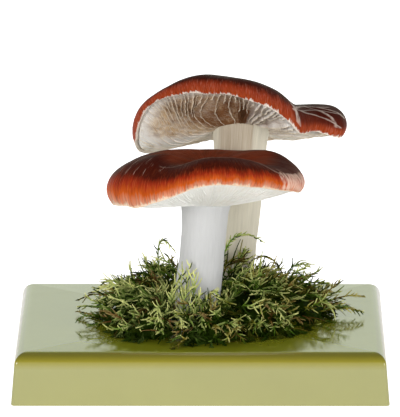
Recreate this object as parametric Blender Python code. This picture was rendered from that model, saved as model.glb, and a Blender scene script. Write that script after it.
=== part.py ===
"""Two sickeners, red-capped brittlegills, standing in a bed of moss on a green moulded plinth.

Metres, +Z up. The origin is in the middle of the plinth's footprint, at the height that it stands on.
-Y is the front.
"""

import math
import random
from dataclasses import dataclass

import bmesh
import bpy
from mathutils import Matrix, Vector

MM = 0.001
GAP = 0.4 * MM  # kept between pieces that touch

# Plinth: a moulded shell, open below, with a socket for each stem.
PLINTH_SIDE = 180 * MM
PLINTH_HEIGHT = 25 * MM
PLINTH_WALL = 3 * MM
WALL_DRAFT = 0.084  # how far the walls lean in, for each unit of height
EDGE_RADIUS = 6 * MM
CORNER_RADIUS = 2 * MM  # of the upright edges, which the rounded top edges meet in mitres
CORNER_STEPS = 4
EDGE_STEPS = 4
SOCKET_DEPTH = 9 * MM
SOCKET_SIDES = 24

# Caps
CAP_SIDES = 40
ROLL_END = math.radians(118)  # how far the margin curls round, from the crest
CAP_FLESH = 6 * MM
MARGIN_FLESH = 1.5 * MM

# Gills: thin blades that hang below the flesh. Every second one stops short of the stem.
GILLS = 32
GILL_THICKNESS = 0.9 * MM
GILL_DRAFT = 0.2 * MM
FLESH_OVER_GILLS = 1.5 * MM
GILL_SETBACK = 1.3 * MM  # of the gills' outer ends, behind the cap's edge
SHORT_GILL_END = 0.5

STEM_SIDES = 20

# Moss: one mound, in clumps that meet side by side. Each is a low heart thick with feathered sprigs.
MOUND_MIDDLE = (6, -3)  # in millimetres, as are the next two
MOUND_REACH = (67, 56, 50, 55, 63, 64, 64, 61, 58, 54, 58, 68)  # every 30 degrees, front first, by the right
MOUND_HEIGHT = 21.5
CLUMP_SIDES = 14
CLUMP_RINGS = ((0.92, 0.0), (0.97, 0.75), (0.78, 0.95), (0.42, 1.0))  # shares of reach, and of mound height
SPRIG_SPACING = 10.6 * MM
SPRIG_STEPS = 4
MOSS_SEED = 0
SPRIG_RADIUS = 0.95 * MM
SPRIG_STEP = 4.3 * MM
SPRIG_CLEAR = 0.5 * MM  # kept from the next clump and from the plinth
STEM_CLEAR = 0.9 * MM


@dataclass(frozen=True)
class Mushroom:
    """Sizes in millimetres, angles in degrees. Heights are above the joint, square to the cap."""

    name: str
    foot: tuple  # where the stem's centre line meets the plinth's top
    joint: tuple  # where the stem's centre line meets the gills
    tilt: float  # how far the cap leans back, so that its front is raised
    roll: float  # how far the cap leans to its right
    stem_radii: tuple  # from the foot up to the joint
    dip: float  # the height of the cap's hollow middle
    gill_depth: float
    stations: tuple  # round the cap from its front, by the right: a row of the columns below for each


# The columns of a station
MARGIN_RADIUS, CREST_SHARE, CREST_HEIGHT, MARGIN_HEIGHT, GILL_BELLY = range(1, 6)

FRONT = Mushroom(
    name="front",
    foot=(-4.0, -30),
    joint=(2.5, -30, 86),
    tilt=6,
    roll=1.5,
    stem_radii=(10.5, 11.2, 11.3, 11.1, 10.9, 11.4),
    dip=20.5,
    gill_depth=7,
    stations=(
        (0, 49.5, 0.70, 25.5, 12.5, 1.5),
        (30, 47, 0.70, 25, 12, 2),
        (60, 49, 0.65, 21, 9, 1.5),
        (90, 47, 0.65, 22.5, 7.5, 1),
        (120, 46.5, 0.70, 25.5, 6, 2),
        (150, 45.5, 0.70, 24.5, 7, 1.5),
        (180, 46, 0.70, 24.5, 8, 1.5),
        (210, 45.5, 0.70, 24, 7, 1.5),
        (240, 46.5, 0.60, 23, 2.5, 1.5),
        (270, 47.5, 0.50, 22, 0, 1.5),
        (300, 50, 0.55, 24.5, 0.5, 2),
        (315, 48, 0.60, 25, 0.5, 1),
        (330, 47.5, 0.70, 21, 4, 1.5),
    ),
)

REAR = Mushroom(
    name="rear",
    foot=(12.0, 32),
    joint=(19.5, 32, 110.5),
    tilt=23,
    roll=-1.5,
    stem_radii=(11.4, 11.8, 12.2, 12.5, 12.7, 13.2),
    dip=13,
    gill_depth=6,
    stations=(
        (0, 49, 0.70, 18, 6, 1.5),
        (30, 41.5, 0.75, 14, -0.5, 1.5),
        (50, 40, 0.60, 11, -7.5, 2),
        (65, 41.5, 0.60, 10.5, -4.5, 1.5),
        (80, 50.5, 0.70, 11.5, -6, 1),
        (90, 51.5, 0.80, 12.5, -1.5, 1.5),
        (100, 51, 0.70, 13.5, 0, 1.5),
        (120, 49, 0.70, 15, 2, 3),
        (150, 46.5, 0.70, 17, 5, 2),
        (180, 46, 0.70, 18, 4, 2.5),
        (210, 47, 0.70, 18, 6, 2),
        (240, 53, 0.70, 16.5, -4, 1),
        (270, 53, 0.80, 12, -4, 4),
        (300, 52, 0.80, 15, 8, 2),
        (330, 49.5, 0.75, 21, 10, 1.5),
    ),
)

MUSHROOMS = (FRONT, REAR)


# Each clump's middle in millimetres
CLUMPS = {
    "moss_front_left": (-27, -43),
    "moss_front": (5, -55),
    "moss_front_right": (33, -39),
    "moss_left": (-33, -10),
    "moss_middle": (22, -6),
    "moss_right": (53, 0),
    "moss_back_left": (-20, 25),
    "moss_back_right": (45, 34),
    "moss_back": (10, 54),
}

# Long stray sprigs in millimetres: the clump, the root, the point that the sprig bends towards, and the tip
STRAYS = (
    ("moss_left", (-38, 4, 32), (-50, 14, 37), (-60, 20, 29)),
    ("moss_front_left", (-32, -35, 29), (-50, -16, 29), (-60, 4, 27)),
    ("moss_back_left", (-19, 10, 34), (-25, 9, 74), (-12, 8, 55)),
    ("moss_middle", (9, -6, 36), (9, 2, 77), (31, 8, 56)),
    ("moss_back_right", (42, 20, 36), (35, 16, 58), (25, 15, 50)),
    ("moss_right", (56, 8, 29), (72, 14, 35), (80, 20, 31)),
    ("moss_right", (54, -6, 28), (70, -6, 33), (79, -4, 28)),
)

COLOURS = {
    "plinth_green": ((0.40, 0.42, 0.12), 0.25),
    "cap_red": ((0.42, 0.07, 0.02), 0.3),
    "gill_white": ((0.83, 0.81, 0.75), 0.6),
    "moss_green": ((0.16, 0.24, 0.05), 0.9),
}


def smooth(share):
    """0 to 1 with no slope at either end."""
    return share * share * (3 - 2 * share)


def around(mushroom, column, azimuth):
    """A station column's value at an azimuth, on a smooth closed curve through the stations."""
    rows = mushroom.stations
    count = len(rows)
    degrees = math.degrees(azimuth) % 360
    index = max(k for k in range(count) if rows[k][0] <= degrees)

    def station(k):
        turns, row = divmod(k, count)
        return rows[row][0] + 360 * turns, rows[row][column]

    (a0, v0), (a1, v1), (a2, v2), (a3, v3) = (station(index + k) for k in (-1, 0, 1, 2))
    first, step, last = a1 - a0, a2 - a1, a3 - a2
    leave = ((v1 - v0) / first * step + (v2 - v1) / step * first) / (first + step) * step
    arrive = ((v2 - v1) / step * last + (v3 - v2) / last * step) / (step + last) * step
    t = (degrees - a1) / step
    value = v1 * (2 * t**3 - 3 * t**2 + 1) + leave * (t**3 - 2 * t**2 + t)
    return value + v2 * (3 * t**2 - 2 * t**3) + arrive * (t**3 - t**2)


def cap_frame(mushroom):
    """Places the joint in the world: x to the right, -y to the front and z square to the cap."""
    lean_back = Matrix.Rotation(-math.radians(mushroom.tilt), 4, "X")
    lean_right = Matrix.Rotation(math.radians(mushroom.roll), 4, "Y")
    return Matrix.Translation(Vector(mushroom.joint) * MM) @ lean_right @ lean_back


def polar(radius, azimuth, height):
    """A point at an azimuth from the front, going by the right."""
    return Vector((radius * math.sin(azimuth), -radius * math.cos(azimuth), height))


def cap_dome(mushroom, azimuth, share, depth):
    """Radius and height from the cap's middle (share 0) to its crest (share 1), at a depth below its skin."""
    margin = around(mushroom, MARGIN_RADIUS, azimuth) * MM
    crest = around(mushroom, CREST_HEIGHT, azimuth) * MM
    dip = mushroom.dip * MM
    radius = share * around(mushroom, CREST_SHARE, azimuth) * margin
    return radius, dip + (crest - dip) * smooth(share) - depth


def cap_roll(mushroom, azimuth, turn, depth):
    """Radius and height on the margin, which curls from the crest (turn 0) to the edge (ROLL_END)."""
    margin = around(mushroom, MARGIN_RADIUS, azimuth) * MM
    crest = around(mushroom, CREST_HEIGHT, azimuth) * MM
    edge = around(mushroom, MARGIN_HEIGHT, azimuth) * MM
    crest_radius = around(mushroom, CREST_SHARE, azimuth) * margin
    middle = (edge - crest * math.cos(ROLL_END)) / (1 - math.cos(ROLL_END))
    across, down = margin - crest_radius, crest - middle
    slope = math.hypot(down * math.sin(turn), across * math.cos(turn))
    radius = crest_radius + (across - depth * down / slope) * math.sin(turn)
    height = middle + (down - depth * across / slope) * math.cos(turn)
    return radius, height


def flesh_at(turn):
    """The cap's thickness, which thins out towards its edge."""
    return CAP_FLESH + (MARGIN_FLESH - CAP_FLESH) * turn / ROLL_END


def flesh_floor(mushroom, azimuth, radius):
    """The height of the cap's underside at a radius."""
    margin = around(mushroom, MARGIN_RADIUS, azimuth) * MM
    crest_radius = around(mushroom, CREST_SHARE, azimuth) * margin
    if radius <= crest_radius:
        return cap_dome(mushroom, azimuth, radius / crest_radius, CAP_FLESH)[1]
    turn = math.asin(min(1.0, (radius - crest_radius) / (margin - crest_radius)))
    return cap_roll(mushroom, azimuth, turn, flesh_at(turn))[1]


def add_ring(bm, points):
    return [bm.verts.new(point) for point in points]


def close_ring(bm, ring, middle):
    """Closes a ring with a fan of triangles about a middle point."""
    tip = bm.verts.new(middle)
    for k, vert in enumerate(ring):
        bm.faces.new((vert, ring[(k + 1) % len(ring)], tip))


def bridge(bm, first, second):
    """Joins two closed rings that start at the same azimuth, even where one has more points."""
    i = j = 0
    n, m = len(first), len(second)
    while i < n or j < m:
        step_first = j == m or (i < n and (i + 1) * m <= (j + 1) * n)
        a, b = first[i % n], second[j % m]
        if i < n and j < m and (i + 1) * m == (j + 1) * n:
            bm.faces.new((a, first[(i + 1) % n], second[(j + 1) % m], b))
            i, j = i + 1, j + 1
        elif step_first:
            bm.faces.new((a, first[(i + 1) % n], b))
            i += 1
        else:
            bm.faces.new((a, second[(j + 1) % m], b))
            j += 1


def bridge_all(bm, rings):
    for first, second in zip(rings, rings[1:]):
        bridge(bm, first, second)


def material(name):
    """A plain finish in the piece's own colour."""
    found = bpy.data.materials.get(name)
    if found:
        return found
    colour, roughness = COLOURS[name]
    made = bpy.data.materials.new(name)
    made.use_nodes = True
    shader = made.node_tree.nodes["Principled BSDF"]
    shader.inputs["Base Color"].default_value = (*colour, 1)
    shader.inputs["Roughness"].default_value = roughness
    made.diffuse_color = (*colour, 1)
    return made


def make_object(name, bm, finish, sharp=math.radians(50)):
    """A named object from a closed bmesh, with its faces pointing out."""
    bmesh.ops.recalc_face_normals(bm, faces=bm.faces)
    mesh = bpy.data.meshes.new(name)
    bm.to_mesh(mesh)
    bm.free()
    made = bpy.data.objects.new(name, mesh)
    bpy.context.scene.collection.objects.link(made)
    mesh.materials.append(material(finish))
    mesh.shade_smooth()
    mesh.set_sharp_from_angle(angle=sharp)
    return made


def azimuths(count):
    return [math.tau * k / count for k in range(count)]


def plinth_ring(bm, inset, height, wall=0.0):
    """A rounded square, inset from the plinth's footprint, and by a wall's thickness as well."""
    half = PLINTH_SIDE / 2 - inset - wall
    corner = max(CORNER_RADIUS - inset - wall, 1.5 * MM)
    points = []
    for quarter in range(4):
        turn = quarter * math.pi / 2
        for step in range(CORNER_STEPS + 1):
            angle = turn + step / CORNER_STEPS * math.pi / 2
            middle = Vector((half - corner, half - corner)) @ Matrix.Rotation(-turn, 2)
            points.append((middle.x + corner * math.cos(angle), middle.y + corner * math.sin(angle), height))
    return add_ring(bm, points)


def cylinder(name, x, y, radius, bottom, top):
    """A plain closed drum, used to cut and join the plinth's sockets."""
    bm = bmesh.new()
    circle = [(x + radius * math.cos(a), y + radius * math.sin(a)) for a in azimuths(SOCKET_SIDES)]
    low = add_ring(bm, [(px, py, bottom) for px, py in circle])
    high = add_ring(bm, [(px, py, top) for px, py in circle])
    bridge(bm, low, high)
    bm.faces.new(low)
    bm.faces.new(high)
    return make_object(name, bm, "plinth_green")


def combine(target, operation, tools, solver="EXACT"):
    """Joins tools to the target, or cuts it with them, and removes them."""
    collection = bpy.data.collections.new("tools")
    for tool in tools:
        collection.objects.link(tool)
    change = target.modifiers.new("combine", "BOOLEAN")
    change.operation = operation
    change.solver = solver
    change.operand_type = "COLLECTION"
    change.collection = collection
    graph = bpy.context.evaluated_depsgraph_get()
    mesh = bpy.data.meshes.new_from_object(target.evaluated_get(graph))
    target.modifiers.clear()
    old = target.data
    target.data = mesh
    mesh.name = target.name
    bpy.data.meshes.remove(old)
    for tool in tools:
        bpy.data.objects.remove(tool)
    bpy.data.collections.remove(collection)


def make_plinth():
    """The moulded shell: leaning walls, a rounded top edge, and a socket under each stem."""
    bm = bmesh.new()
    shoulder = PLINTH_HEIGHT - EDGE_RADIUS
    lean = WALL_DRAFT * shoulder
    rings = [plinth_ring(bm, 0, 0), plinth_ring(bm, lean, shoulder)]
    for step in range(1, EDGE_STEPS + 1):
        angle = step / EDGE_STEPS * math.pi / 2
        inset = lean + EDGE_RADIUS * (1 - math.cos(angle))
        rings.append(plinth_ring(bm, inset, shoulder + EDGE_RADIUS * math.sin(angle)))
    ceiling = PLINTH_HEIGHT - PLINTH_WALL
    inner = [
        plinth_ring(bm, 0, 0, PLINTH_WALL),
        plinth_ring(bm, lean, shoulder - PLINTH_WALL, PLINTH_WALL),
        plinth_ring(bm, lean + PLINTH_WALL, ceiling, PLINTH_WALL),
    ]
    bridge_all(bm, rings)
    bridge_all(bm, inner)
    bridge(bm, rings[0], inner[0])
    bm.faces.new(rings[-1])
    bm.faces.new(inner[-1])
    plinth = make_object("plinth", bm, "plinth_green")
    bosses, cutters = [], []
    for mushroom in MUSHROOMS:
        x, y = (value * MM for value in mushroom.foot)
        hole = mushroom.stem_radii[0] * MM + GAP
        floor = PLINTH_HEIGHT - SOCKET_DEPTH
        bosses.append(cylinder("boss", x, y, hole + PLINTH_WALL, floor - PLINTH_WALL, ceiling + MM))
        cutters.append(cylinder("cutter", x, y, hole, floor, PLINTH_HEIGHT + MM))
    combine(plinth, "UNION", bosses)
    combine(plinth, "DIFFERENCE", cutters)
    plinth.data.shade_smooth()
    plinth.data.set_sharp_from_angle(angle=math.radians(50))


def make_cap(mushroom):
    """The red cap: a hollowed dome whose margin curls down and in."""
    bm = bmesh.new()
    frame = cap_frame(mushroom)

    def dome_ring(share, depth):
        return add_ring(bm, [frame @ polar(*at(cap_dome, a, share, depth)) for a in azimuths(CAP_SIDES)])

    def roll_ring(turn, depth):
        return add_ring(bm, [frame @ polar(*at(cap_roll, a, turn, depth)) for a in azimuths(CAP_SIDES)])

    def at(profile, azimuth, place, depth):
        radius, height = profile(mushroom, azimuth, place, depth)
        return radius, azimuth, height

    rings = [dome_ring(share, 0) for share in (0.4, 0.75)]
    rings += [roll_ring(math.radians(turn), 0) for turn in (0, 25, 48, 70, 92)]
    rings += [roll_ring(ROLL_END, 0)]
    rings += [roll_ring(turn, flesh_at(turn)) for turn in (ROLL_END, math.radians(75), math.radians(35))]
    rings += [dome_ring(share, CAP_FLESH) for share in (1.0, 0.55)]
    bridge_all(bm, rings)
    dip = mushroom.dip * MM
    close_ring(bm, rings[0], frame @ Vector((0, 0, dip)))
    close_ring(bm, rings[-1], frame @ Vector((0, 0, dip - CAP_FLESH)))
    make_object(mushroom.name + "_cap", bm, "cap_red", math.radians(70))


def gill_ring(bm, mushroom, frame, inward):
    """A ring through every gill and the floors between them, a share of the way in from the margin."""
    points = []
    joint_radius = mushroom.stem_radii[-1] * MM
    for gill in range(GILLS):
        azimuth = math.tau * gill / GILLS
        rim_radius, rim_height = cap_roll(mushroom, azimuth, ROLL_END, MARGIN_FLESH + GAP + GILL_SETBACK)
        radius = rim_radius + (joint_radius - rim_radius) * inward
        belly = around(mushroom, GILL_BELLY, azimuth) * MM
        edge = rim_height * (1 - inward) - belly * math.sin(math.pi * inward**0.75)
        depth = mushroom.gill_depth * MM * math.sin(math.pi * inward**0.8) ** 0.7
        ceiling = flesh_floor(mushroom, azimuth, radius) - GAP - FLESH_OVER_GILLS
        floor = min(edge + depth, max(ceiling, edge))
        if gill % 2 and inward > SHORT_GILL_END:
            edge = floor
        half = GILL_THICKNESS / 2 / radius
        foot = half + GILL_DRAFT / radius
        for offset, height in ((-foot, floor), (-half, edge), (half, edge), (foot, floor)):
            points.append(frame @ polar(radius, azimuth + offset, height))
    return add_ring(bm, points)


def make_gills_and_stem(mushroom):
    """The white part: flesh under the cap, the gills that hang from it, and the stem down into its socket."""
    bm = bmesh.new()
    frame = cap_frame(mushroom)

    def ring(profile, place, depth):
        points = []
        for azimuth in azimuths(CAP_SIDES):
            radius, height = profile(mushroom, azimuth, place, depth)
            points.append(frame @ polar(radius, azimuth, height))
        return add_ring(bm, points)

    over = [ring(cap_dome, share, CAP_FLESH + GAP) for share in (0.55, 1.0)]
    over += [ring(cap_roll, turn, flesh_at(turn) + GAP) for turn in (math.radians(35), math.radians(75))]
    gills = [gill_ring(bm, mushroom, frame, inward) for inward in (0.0, 0.1, 0.3, 0.5, 0.55, 0.92)]
    bridge_all(bm, over + gills)
    close_ring(bm, over[0], frame @ Vector((0, 0, mushroom.dip * MM - CAP_FLESH - GAP)))
    stem = stem_rings(bm, mushroom, frame)
    bridge_all(bm, [gills[-1]] + stem)
    foot = Vector((*mushroom.foot, 0)) * MM
    close_ring(bm, stem[-1], foot + Vector((0, 0, PLINTH_HEIGHT - SOCKET_DEPTH + GAP)))
    make_object(mushroom.name + "_gills_and_stem", bm, "gill_white", math.radians(40))


def stem_point(mushroom, share):
    """A point on the stem's centre line, from the plinth's top (0) to the joint (1)."""
    foot = Vector((mushroom.foot[0] * MM, mushroom.foot[1] * MM, PLINTH_HEIGHT))
    joint = Vector(mushroom.joint) * MM
    bow = 0.6 * MM * math.sin(math.pi * share)
    return foot.lerp(joint, share) + Vector((bow, 0, 0))


def stem_rings(bm, mushroom, frame):
    """Rings down the stem. The top ones lean with the cap, and the foot stands upright in its socket."""
    rings = []
    count = len(mushroom.stem_radii)
    turned = frame.to_3x3()
    for k in range(count - 1, 0, -1):
        share = k / (count - 1)
        lean = smooth(max(0.0, (share - 0.6) / 0.4))
        rotation = Matrix.Identity(3).lerp(turned, lean)
        points = []
        for azimuth in azimuths(STEM_SIDES):
            waver = 0.03 * math.sin(2 * azimuth + 3 * share) + 0.015 * math.sin(3 * azimuth - 5 * share)
            radius = mushroom.stem_radii[k] * MM * (1 + waver)
            points.append(stem_point(mushroom, share) + rotation @ polar(radius, azimuth, 0))
        rings.append(add_ring(bm, points))
    foot = Vector((*mushroom.foot, 0)) * MM
    for height in (PLINTH_HEIGHT + MM, PLINTH_HEIGHT - SOCKET_DEPTH + GAP):
        radius = mushroom.stem_radii[0] * MM
        rings.append(add_ring(bm, [foot + polar(radius, a, height) for a in azimuths(STEM_SIDES)]))
    return rings


def stem_at(mushroom, height):
    """The stem's centre and radius at a height, for moss to stay clear of."""
    rise = mushroom.joint[2] * MM - PLINTH_HEIGHT
    share = min(1.0, max(0.0, (height - PLINTH_HEIGHT) / rise))
    return stem_point(mushroom, share), max(mushroom.stem_radii[:-1]) * 1.05 * MM


def mound_share(point):
    """How far out a point is in the mound: 0 in its middle and 1 at its edge."""
    offset = point.xy - Vector(MOUND_MIDDLE) * MM
    place = (math.atan2(offset.x, -offset.y) / math.tau % 1) * len(MOUND_REACH)
    index = int(place)
    near, far = MOUND_REACH[index], MOUND_REACH[(index + 1) % len(MOUND_REACH)]
    return offset.length / ((near + (far - near) * (place - index)) * MM)


def mound_height(point):
    """The mound's height above the plinth."""
    return MOUND_HEIGHT * MM * (1 - min(1.0, mound_share(point)) ** 2) ** 0.6


def borders(name):
    """The next clumps' borders: a point on each, and the way back from it."""
    here = Vector(CLUMPS[name]) * MM
    others = (Vector(centre) * MM for other, centre in CLUMPS.items() if other != name)
    return [((here + there) / 2, (here - there).normalized()) for there in others]


def bent_clear(point, name, keep):
    """The point, moved back where it comes too near the next clump, a stem or the plinth's top or edge."""
    point = point.copy()
    for border, away in borders(name):
        short = keep - (point.xy - border).dot(away)
        if short > 0:
            point.xy += away * short
    for mushroom in MUSHROOMS:
        middle, radius = stem_at(mushroom, point.z)
        away = point.xy - middle.xy
        short = radius + STEM_CLEAR + keep - away.length
        if short > 0:
            point.xy += away.normalized() * short
    limit = PLINTH_SIDE / 2 - 9 * MM
    point.x = max(-limit, min(limit, point.x))
    point.y = max(-limit, min(limit, point.y))
    point.z = max(point.z, PLINTH_HEIGHT + keep)
    return point


def clump_reach(name, azimuth):
    """How far a clump reaches at an azimuth: to the mound's edge, or short of its neighbours and stems."""
    here = Vector((*CLUMPS[name], 0)) * MM
    reach = 0.0
    while True:
        point = here + polar(reach + MM, azimuth, PLINTH_HEIGHT + 8 * MM)
        if mound_share(point) > 1 or (bent_clear(point, name, SPRIG_CLEAR) - point).length > 0.01 * MM:
            return reach
        reach += MM


def make_core(name, reaches, rng):
    """The low heart of a clump, with an uneven top."""
    bm = bmesh.new()
    middle = Vector((*CLUMPS[name], 0)) * MM
    floor = Vector((0, 0, PLINTH_HEIGHT + GAP))
    rings = []
    for share, lift in CLUMP_RINGS:
        points = []
        for azimuth, reach in zip(azimuths(CLUMP_SIDES), reaches):
            point = middle + polar(share * reach, azimuth, 0)
            height = max(mound_height(point), 3 * MM) * lift * rng.uniform(0.78, 1.12)
            points.append(point + floor + Vector((0, 0, height)))
        rings.append(add_ring(bm, points))
    for low, high in zip(rings, rings[1:]):
        for k in range(CLUMP_SIDES):
            after = (k + 1) % CLUMP_SIDES
            add_tuft(bm, (low[k], low[after], high[after], high[k]), name, rng)
    close_ring(bm, rings[0], middle + floor)
    close_ring(bm, rings[-1], middle + floor + Vector((0, 0, mound_height(middle) + 3 * MM)))
    return make_object(name, bm, "moss_green")


def add_tuft(bm, quad, name, rng):
    """A pointed tuft of leaves on four corners, leaning out from the clump's middle."""
    middle = sum((vert.co for vert in quad), Vector()) / 4
    out = (quad[1].co - quad[0].co).cross(quad[3].co - quad[0].co).normalized()
    lean = (middle.xy - Vector(CLUMPS[name]) * MM).normalized().to_3d() * 0.5
    lean += Vector((rng.uniform(-0.3, 0.3), rng.uniform(-0.3, 0.3), rng.uniform(0, 0.5)))
    tip = bm.verts.new(bent_clear(middle + (out + lean) * rng.uniform(2.5, 4.5) * MM, name, SPRIG_CLEAR))
    for a, b in zip(quad, quad[1:] + quad[:1]):
        bm.faces.new((a, b, tip))


def stray_line(root, bend, tip):
    """Points along a long sprig that bends."""
    steps = max(5, round(((bend - root).length + (tip - bend).length) / SPRIG_STEP / 1.1))
    shares = [k / steps for k in range(steps + 1)]
    return [root.lerp(bend, share).lerp(bend.lerp(tip, share), share) for share in shares]


def wandering_line(root, azimuth, lift, rng):
    """A sprig's line, which bends to one side and droops as it grows."""
    bend, droop = math.radians(rng.uniform(-24, 24)), math.radians(rng.uniform(2, 16))
    line = [root]
    for _ in range(SPRIG_STEPS):
        line.append(line[-1] + polar(math.cos(lift), azimuth, math.sin(lift)) * SPRIG_STEP)
        azimuth += bend
        lift -= droop
    return line


def make_sprig(line, name, branch):
    """A three-sided stalk along a line, with pointed side branches on both upper faces at every step."""
    bm = bmesh.new()
    line = [bent_clear(point, name, SPRIG_CLEAR + SPRIG_RADIUS) for point in line]
    rings = []
    last = len(line) - 1
    for k, point in enumerate(line):
        share = k / last
        ahead = (line[min(k + 1, last)] - line[max(k - 1, 0)]).normalized()
        side = ahead.cross(Vector((0, 0, 1)))
        side = side.normalized() if side.length > 0.2 else Vector((1, 0, 0))
        above = side.cross(ahead)
        radius = SPRIG_RADIUS * (1 - 0.6 * share)
        corners = [point + (side * a + above * b) * radius for a, b in ((0, 1), (0.87, -0.5), (-0.87, -0.5))]
        ring = [bm.verts.new(bent_clear(corner, name, SPRIG_CLEAR)) for corner in corners]
        rings.append((ring, side, ahead))
    bm.faces.new(rings[0][0])
    bm.faces.new(rings[-1][0])
    for k, ((near, side, ahead), (far, _, _)) in enumerate(zip(rings, rings[1:])):
        length = branch * math.sin(math.pi * (0.18 + 0.72 * (k + 0.5) / last))
        bm.faces.new((near[1], far[1], far[2], near[2]))
        for corner, way in ((1, 1), (2, -1)):
            quad = (near[0], far[0], far[corner], near[corner])
            middle = sum((vert.co for vert in quad), Vector()) / 4
            out = middle + (side * way * 0.85 + ahead * 0.6 + Vector((0, 0, 0.1))) * length
            tip = bm.verts.new(bent_clear(out, name, SPRIG_CLEAR))
            for a, b in zip(quad, quad[1:] + quad[:1]):
                bm.faces.new((a, b, tip))
    return make_object("sprig", bm, "moss_green")


def clump_sprigs(name, reaches, rng):
    """The sprigs, spread evenly over a clump: low near the mound's edge, and standing further in."""
    middle = Vector((*CLUMPS[name], 0)) * MM
    heart = Vector((*MOUND_MIDDLE, 0)) * MM
    area = sum(reach**2 for reach in reaches) * math.pi / CLUMP_SIDES
    count = round(area / SPRIG_SPACING**2)
    made = []
    for k in range(count):
        azimuth = math.tau * (k * 0.382 + rng.uniform(-0.05, 0.05))
        reach = reaches[round(azimuth / math.tau * CLUMP_SIDES) % CLUMP_SIDES]
        share = 0.84 * math.sqrt((k + 0.5) / count)
        root = middle + polar(share * reach, azimuth, 0)
        inner = 1 - min(1.0, mound_share(root))
        root.z = PLINTH_HEIGHT + max((0.75 - 0.4 * share) * mound_height(root), 2 * MM)
        outward = (root - heart).xy + rng.uniform(0, 25) * MM * polar(1, rng.uniform(0, math.tau), 0).xy
        heading = math.atan2(outward.x, -outward.y)
        lift = math.radians(50 - 42 * share + 25 * inner + rng.uniform(-12, 12))
        made.append(make_sprig(wandering_line(root, heading, lift, rng), name, rng.uniform(4.2, 5.6) * MM))
    for clump, *points in STRAYS:
        if clump == name:
            made.append(make_sprig(stray_line(*(Vector(point) * MM for point in points)), name, 2.6 * MM))
    return made


def keep_largest_shell(made):
    """Fills the small hollows between crossing sprigs, and drops any tip that they cut off."""
    bm = bmesh.new()
    bm.from_mesh(made.data)
    left, shells = set(bm.verts), []
    while left:
        shell, edge = set(), {left.pop()}
        while edge:
            shell |= edge
            edge = {link.other_vert(vert) for vert in edge for link in vert.link_edges} - shell
        left -= shell
        shells.append(shell)
    shells.sort(key=len)
    bmesh.ops.delete(bm, geom=[vert for shell in shells[:-1] for vert in shell], context="VERTS")
    bm.to_mesh(made.data)
    bm.free()


def make_clump(name, seed):
    """A clump's heart and sprigs, grown together."""
    rng = random.Random(seed)
    reaches = [clump_reach(name, azimuth) for azimuth in azimuths(CLUMP_SIDES)]
    core = make_core(name, reaches, rng)
    combine(core, "UNION", clump_sprigs(name, reaches, rng), "MANIFOLD")
    keep_largest_shell(core)
    core.data.shade_smooth()
    core.data.set_sharp_from_angle(angle=math.radians(50))


def main():
    for old in list(bpy.data.objects):
        bpy.data.objects.remove(old)
    make_plinth()
    for mushroom in MUSHROOMS:
        make_cap(mushroom)
        make_gills_and_stem(mushroom)
    for seed, name in enumerate(CLUMPS):
        make_clump(name, seed + MOSS_SEED)


main()
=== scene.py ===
"""Two sickeners in a bed of moss on a green moulded plinth: the finished look of each piece.

Metres, +Z up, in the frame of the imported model. -Y is the front.
"""

import math
import random
from dataclasses import dataclass

import bmesh
import bpy
from mathutils import Matrix, Vector, noise


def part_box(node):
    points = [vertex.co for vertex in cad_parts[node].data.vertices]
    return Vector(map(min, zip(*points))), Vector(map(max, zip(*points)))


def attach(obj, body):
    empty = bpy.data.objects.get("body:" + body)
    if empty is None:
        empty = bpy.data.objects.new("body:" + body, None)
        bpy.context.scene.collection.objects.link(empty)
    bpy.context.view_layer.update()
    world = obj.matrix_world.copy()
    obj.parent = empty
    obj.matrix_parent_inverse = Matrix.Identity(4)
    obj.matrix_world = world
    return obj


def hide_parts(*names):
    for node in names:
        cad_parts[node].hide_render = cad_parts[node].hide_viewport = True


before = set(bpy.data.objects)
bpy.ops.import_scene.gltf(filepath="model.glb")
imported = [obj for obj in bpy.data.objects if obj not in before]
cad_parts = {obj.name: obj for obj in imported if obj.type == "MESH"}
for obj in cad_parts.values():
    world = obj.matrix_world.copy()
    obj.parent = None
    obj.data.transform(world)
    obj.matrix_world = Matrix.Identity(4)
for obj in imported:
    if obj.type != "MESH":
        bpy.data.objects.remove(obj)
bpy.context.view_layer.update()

bl_info = {
    "name": "Sickener model",
    "version": (1, 0, 0),
    "blender": (4, 5, 0),
    "location": "3D View > Sidebar > Sickener",
    "description": "Builds two red-capped mushrooms in moss on a moulded plinth",
    "category": "Add Mesh",
}

MM = 0.001
WHITE = (1, 1, 1)

# As in the solids: the play between parts, the turn at which a margin ends, and thicknesses
GAP = 0.4 * MM
ROLL_END = math.radians(118)
CAP_FLESH = 6 * MM
MARGIN_FLESH = 1.5 * MM
FLESH_OVER_GILLS = 1.5 * MM
SOCKET_DEPTH = 9 * MM
PLINTH_DRAFT = 0.084

# The mound of moss, in millimetres: its reach is given every 30 degrees from the front, going by the right
MOUND_MIDDLE = (6, -3)
MOUND_REACH = (67, 56, 50, 55, 63, 64, 64, 61, 58, 54, 58, 68)
MOUND_HEIGHT = 21.5
CLUMP_SIDES = 14
SPRIG_STEPS = 4
SPRIG_STEP = 4.3 * MM
SPRIG_SPACING = 10.6 * MM


@dataclass(frozen=True)
class Mushroom:
    """The same sizes as the solids have: millimetres and degrees.

    The blush is where the skin turns from brown to red, orange and pale, from the crest (1) to the edge (2).
    """

    name: str
    foot: tuple
    joint: tuple
    tilt: float
    roll: float
    stem_radii: tuple
    dip: float
    gill_depth: float
    stations: tuple
    blush: tuple
    gills: int
    seed: int


MARGIN_RADIUS, CREST_SHARE, CREST_HEIGHT, MARGIN_HEIGHT, GILL_BELLY = range(1, 6)

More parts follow.
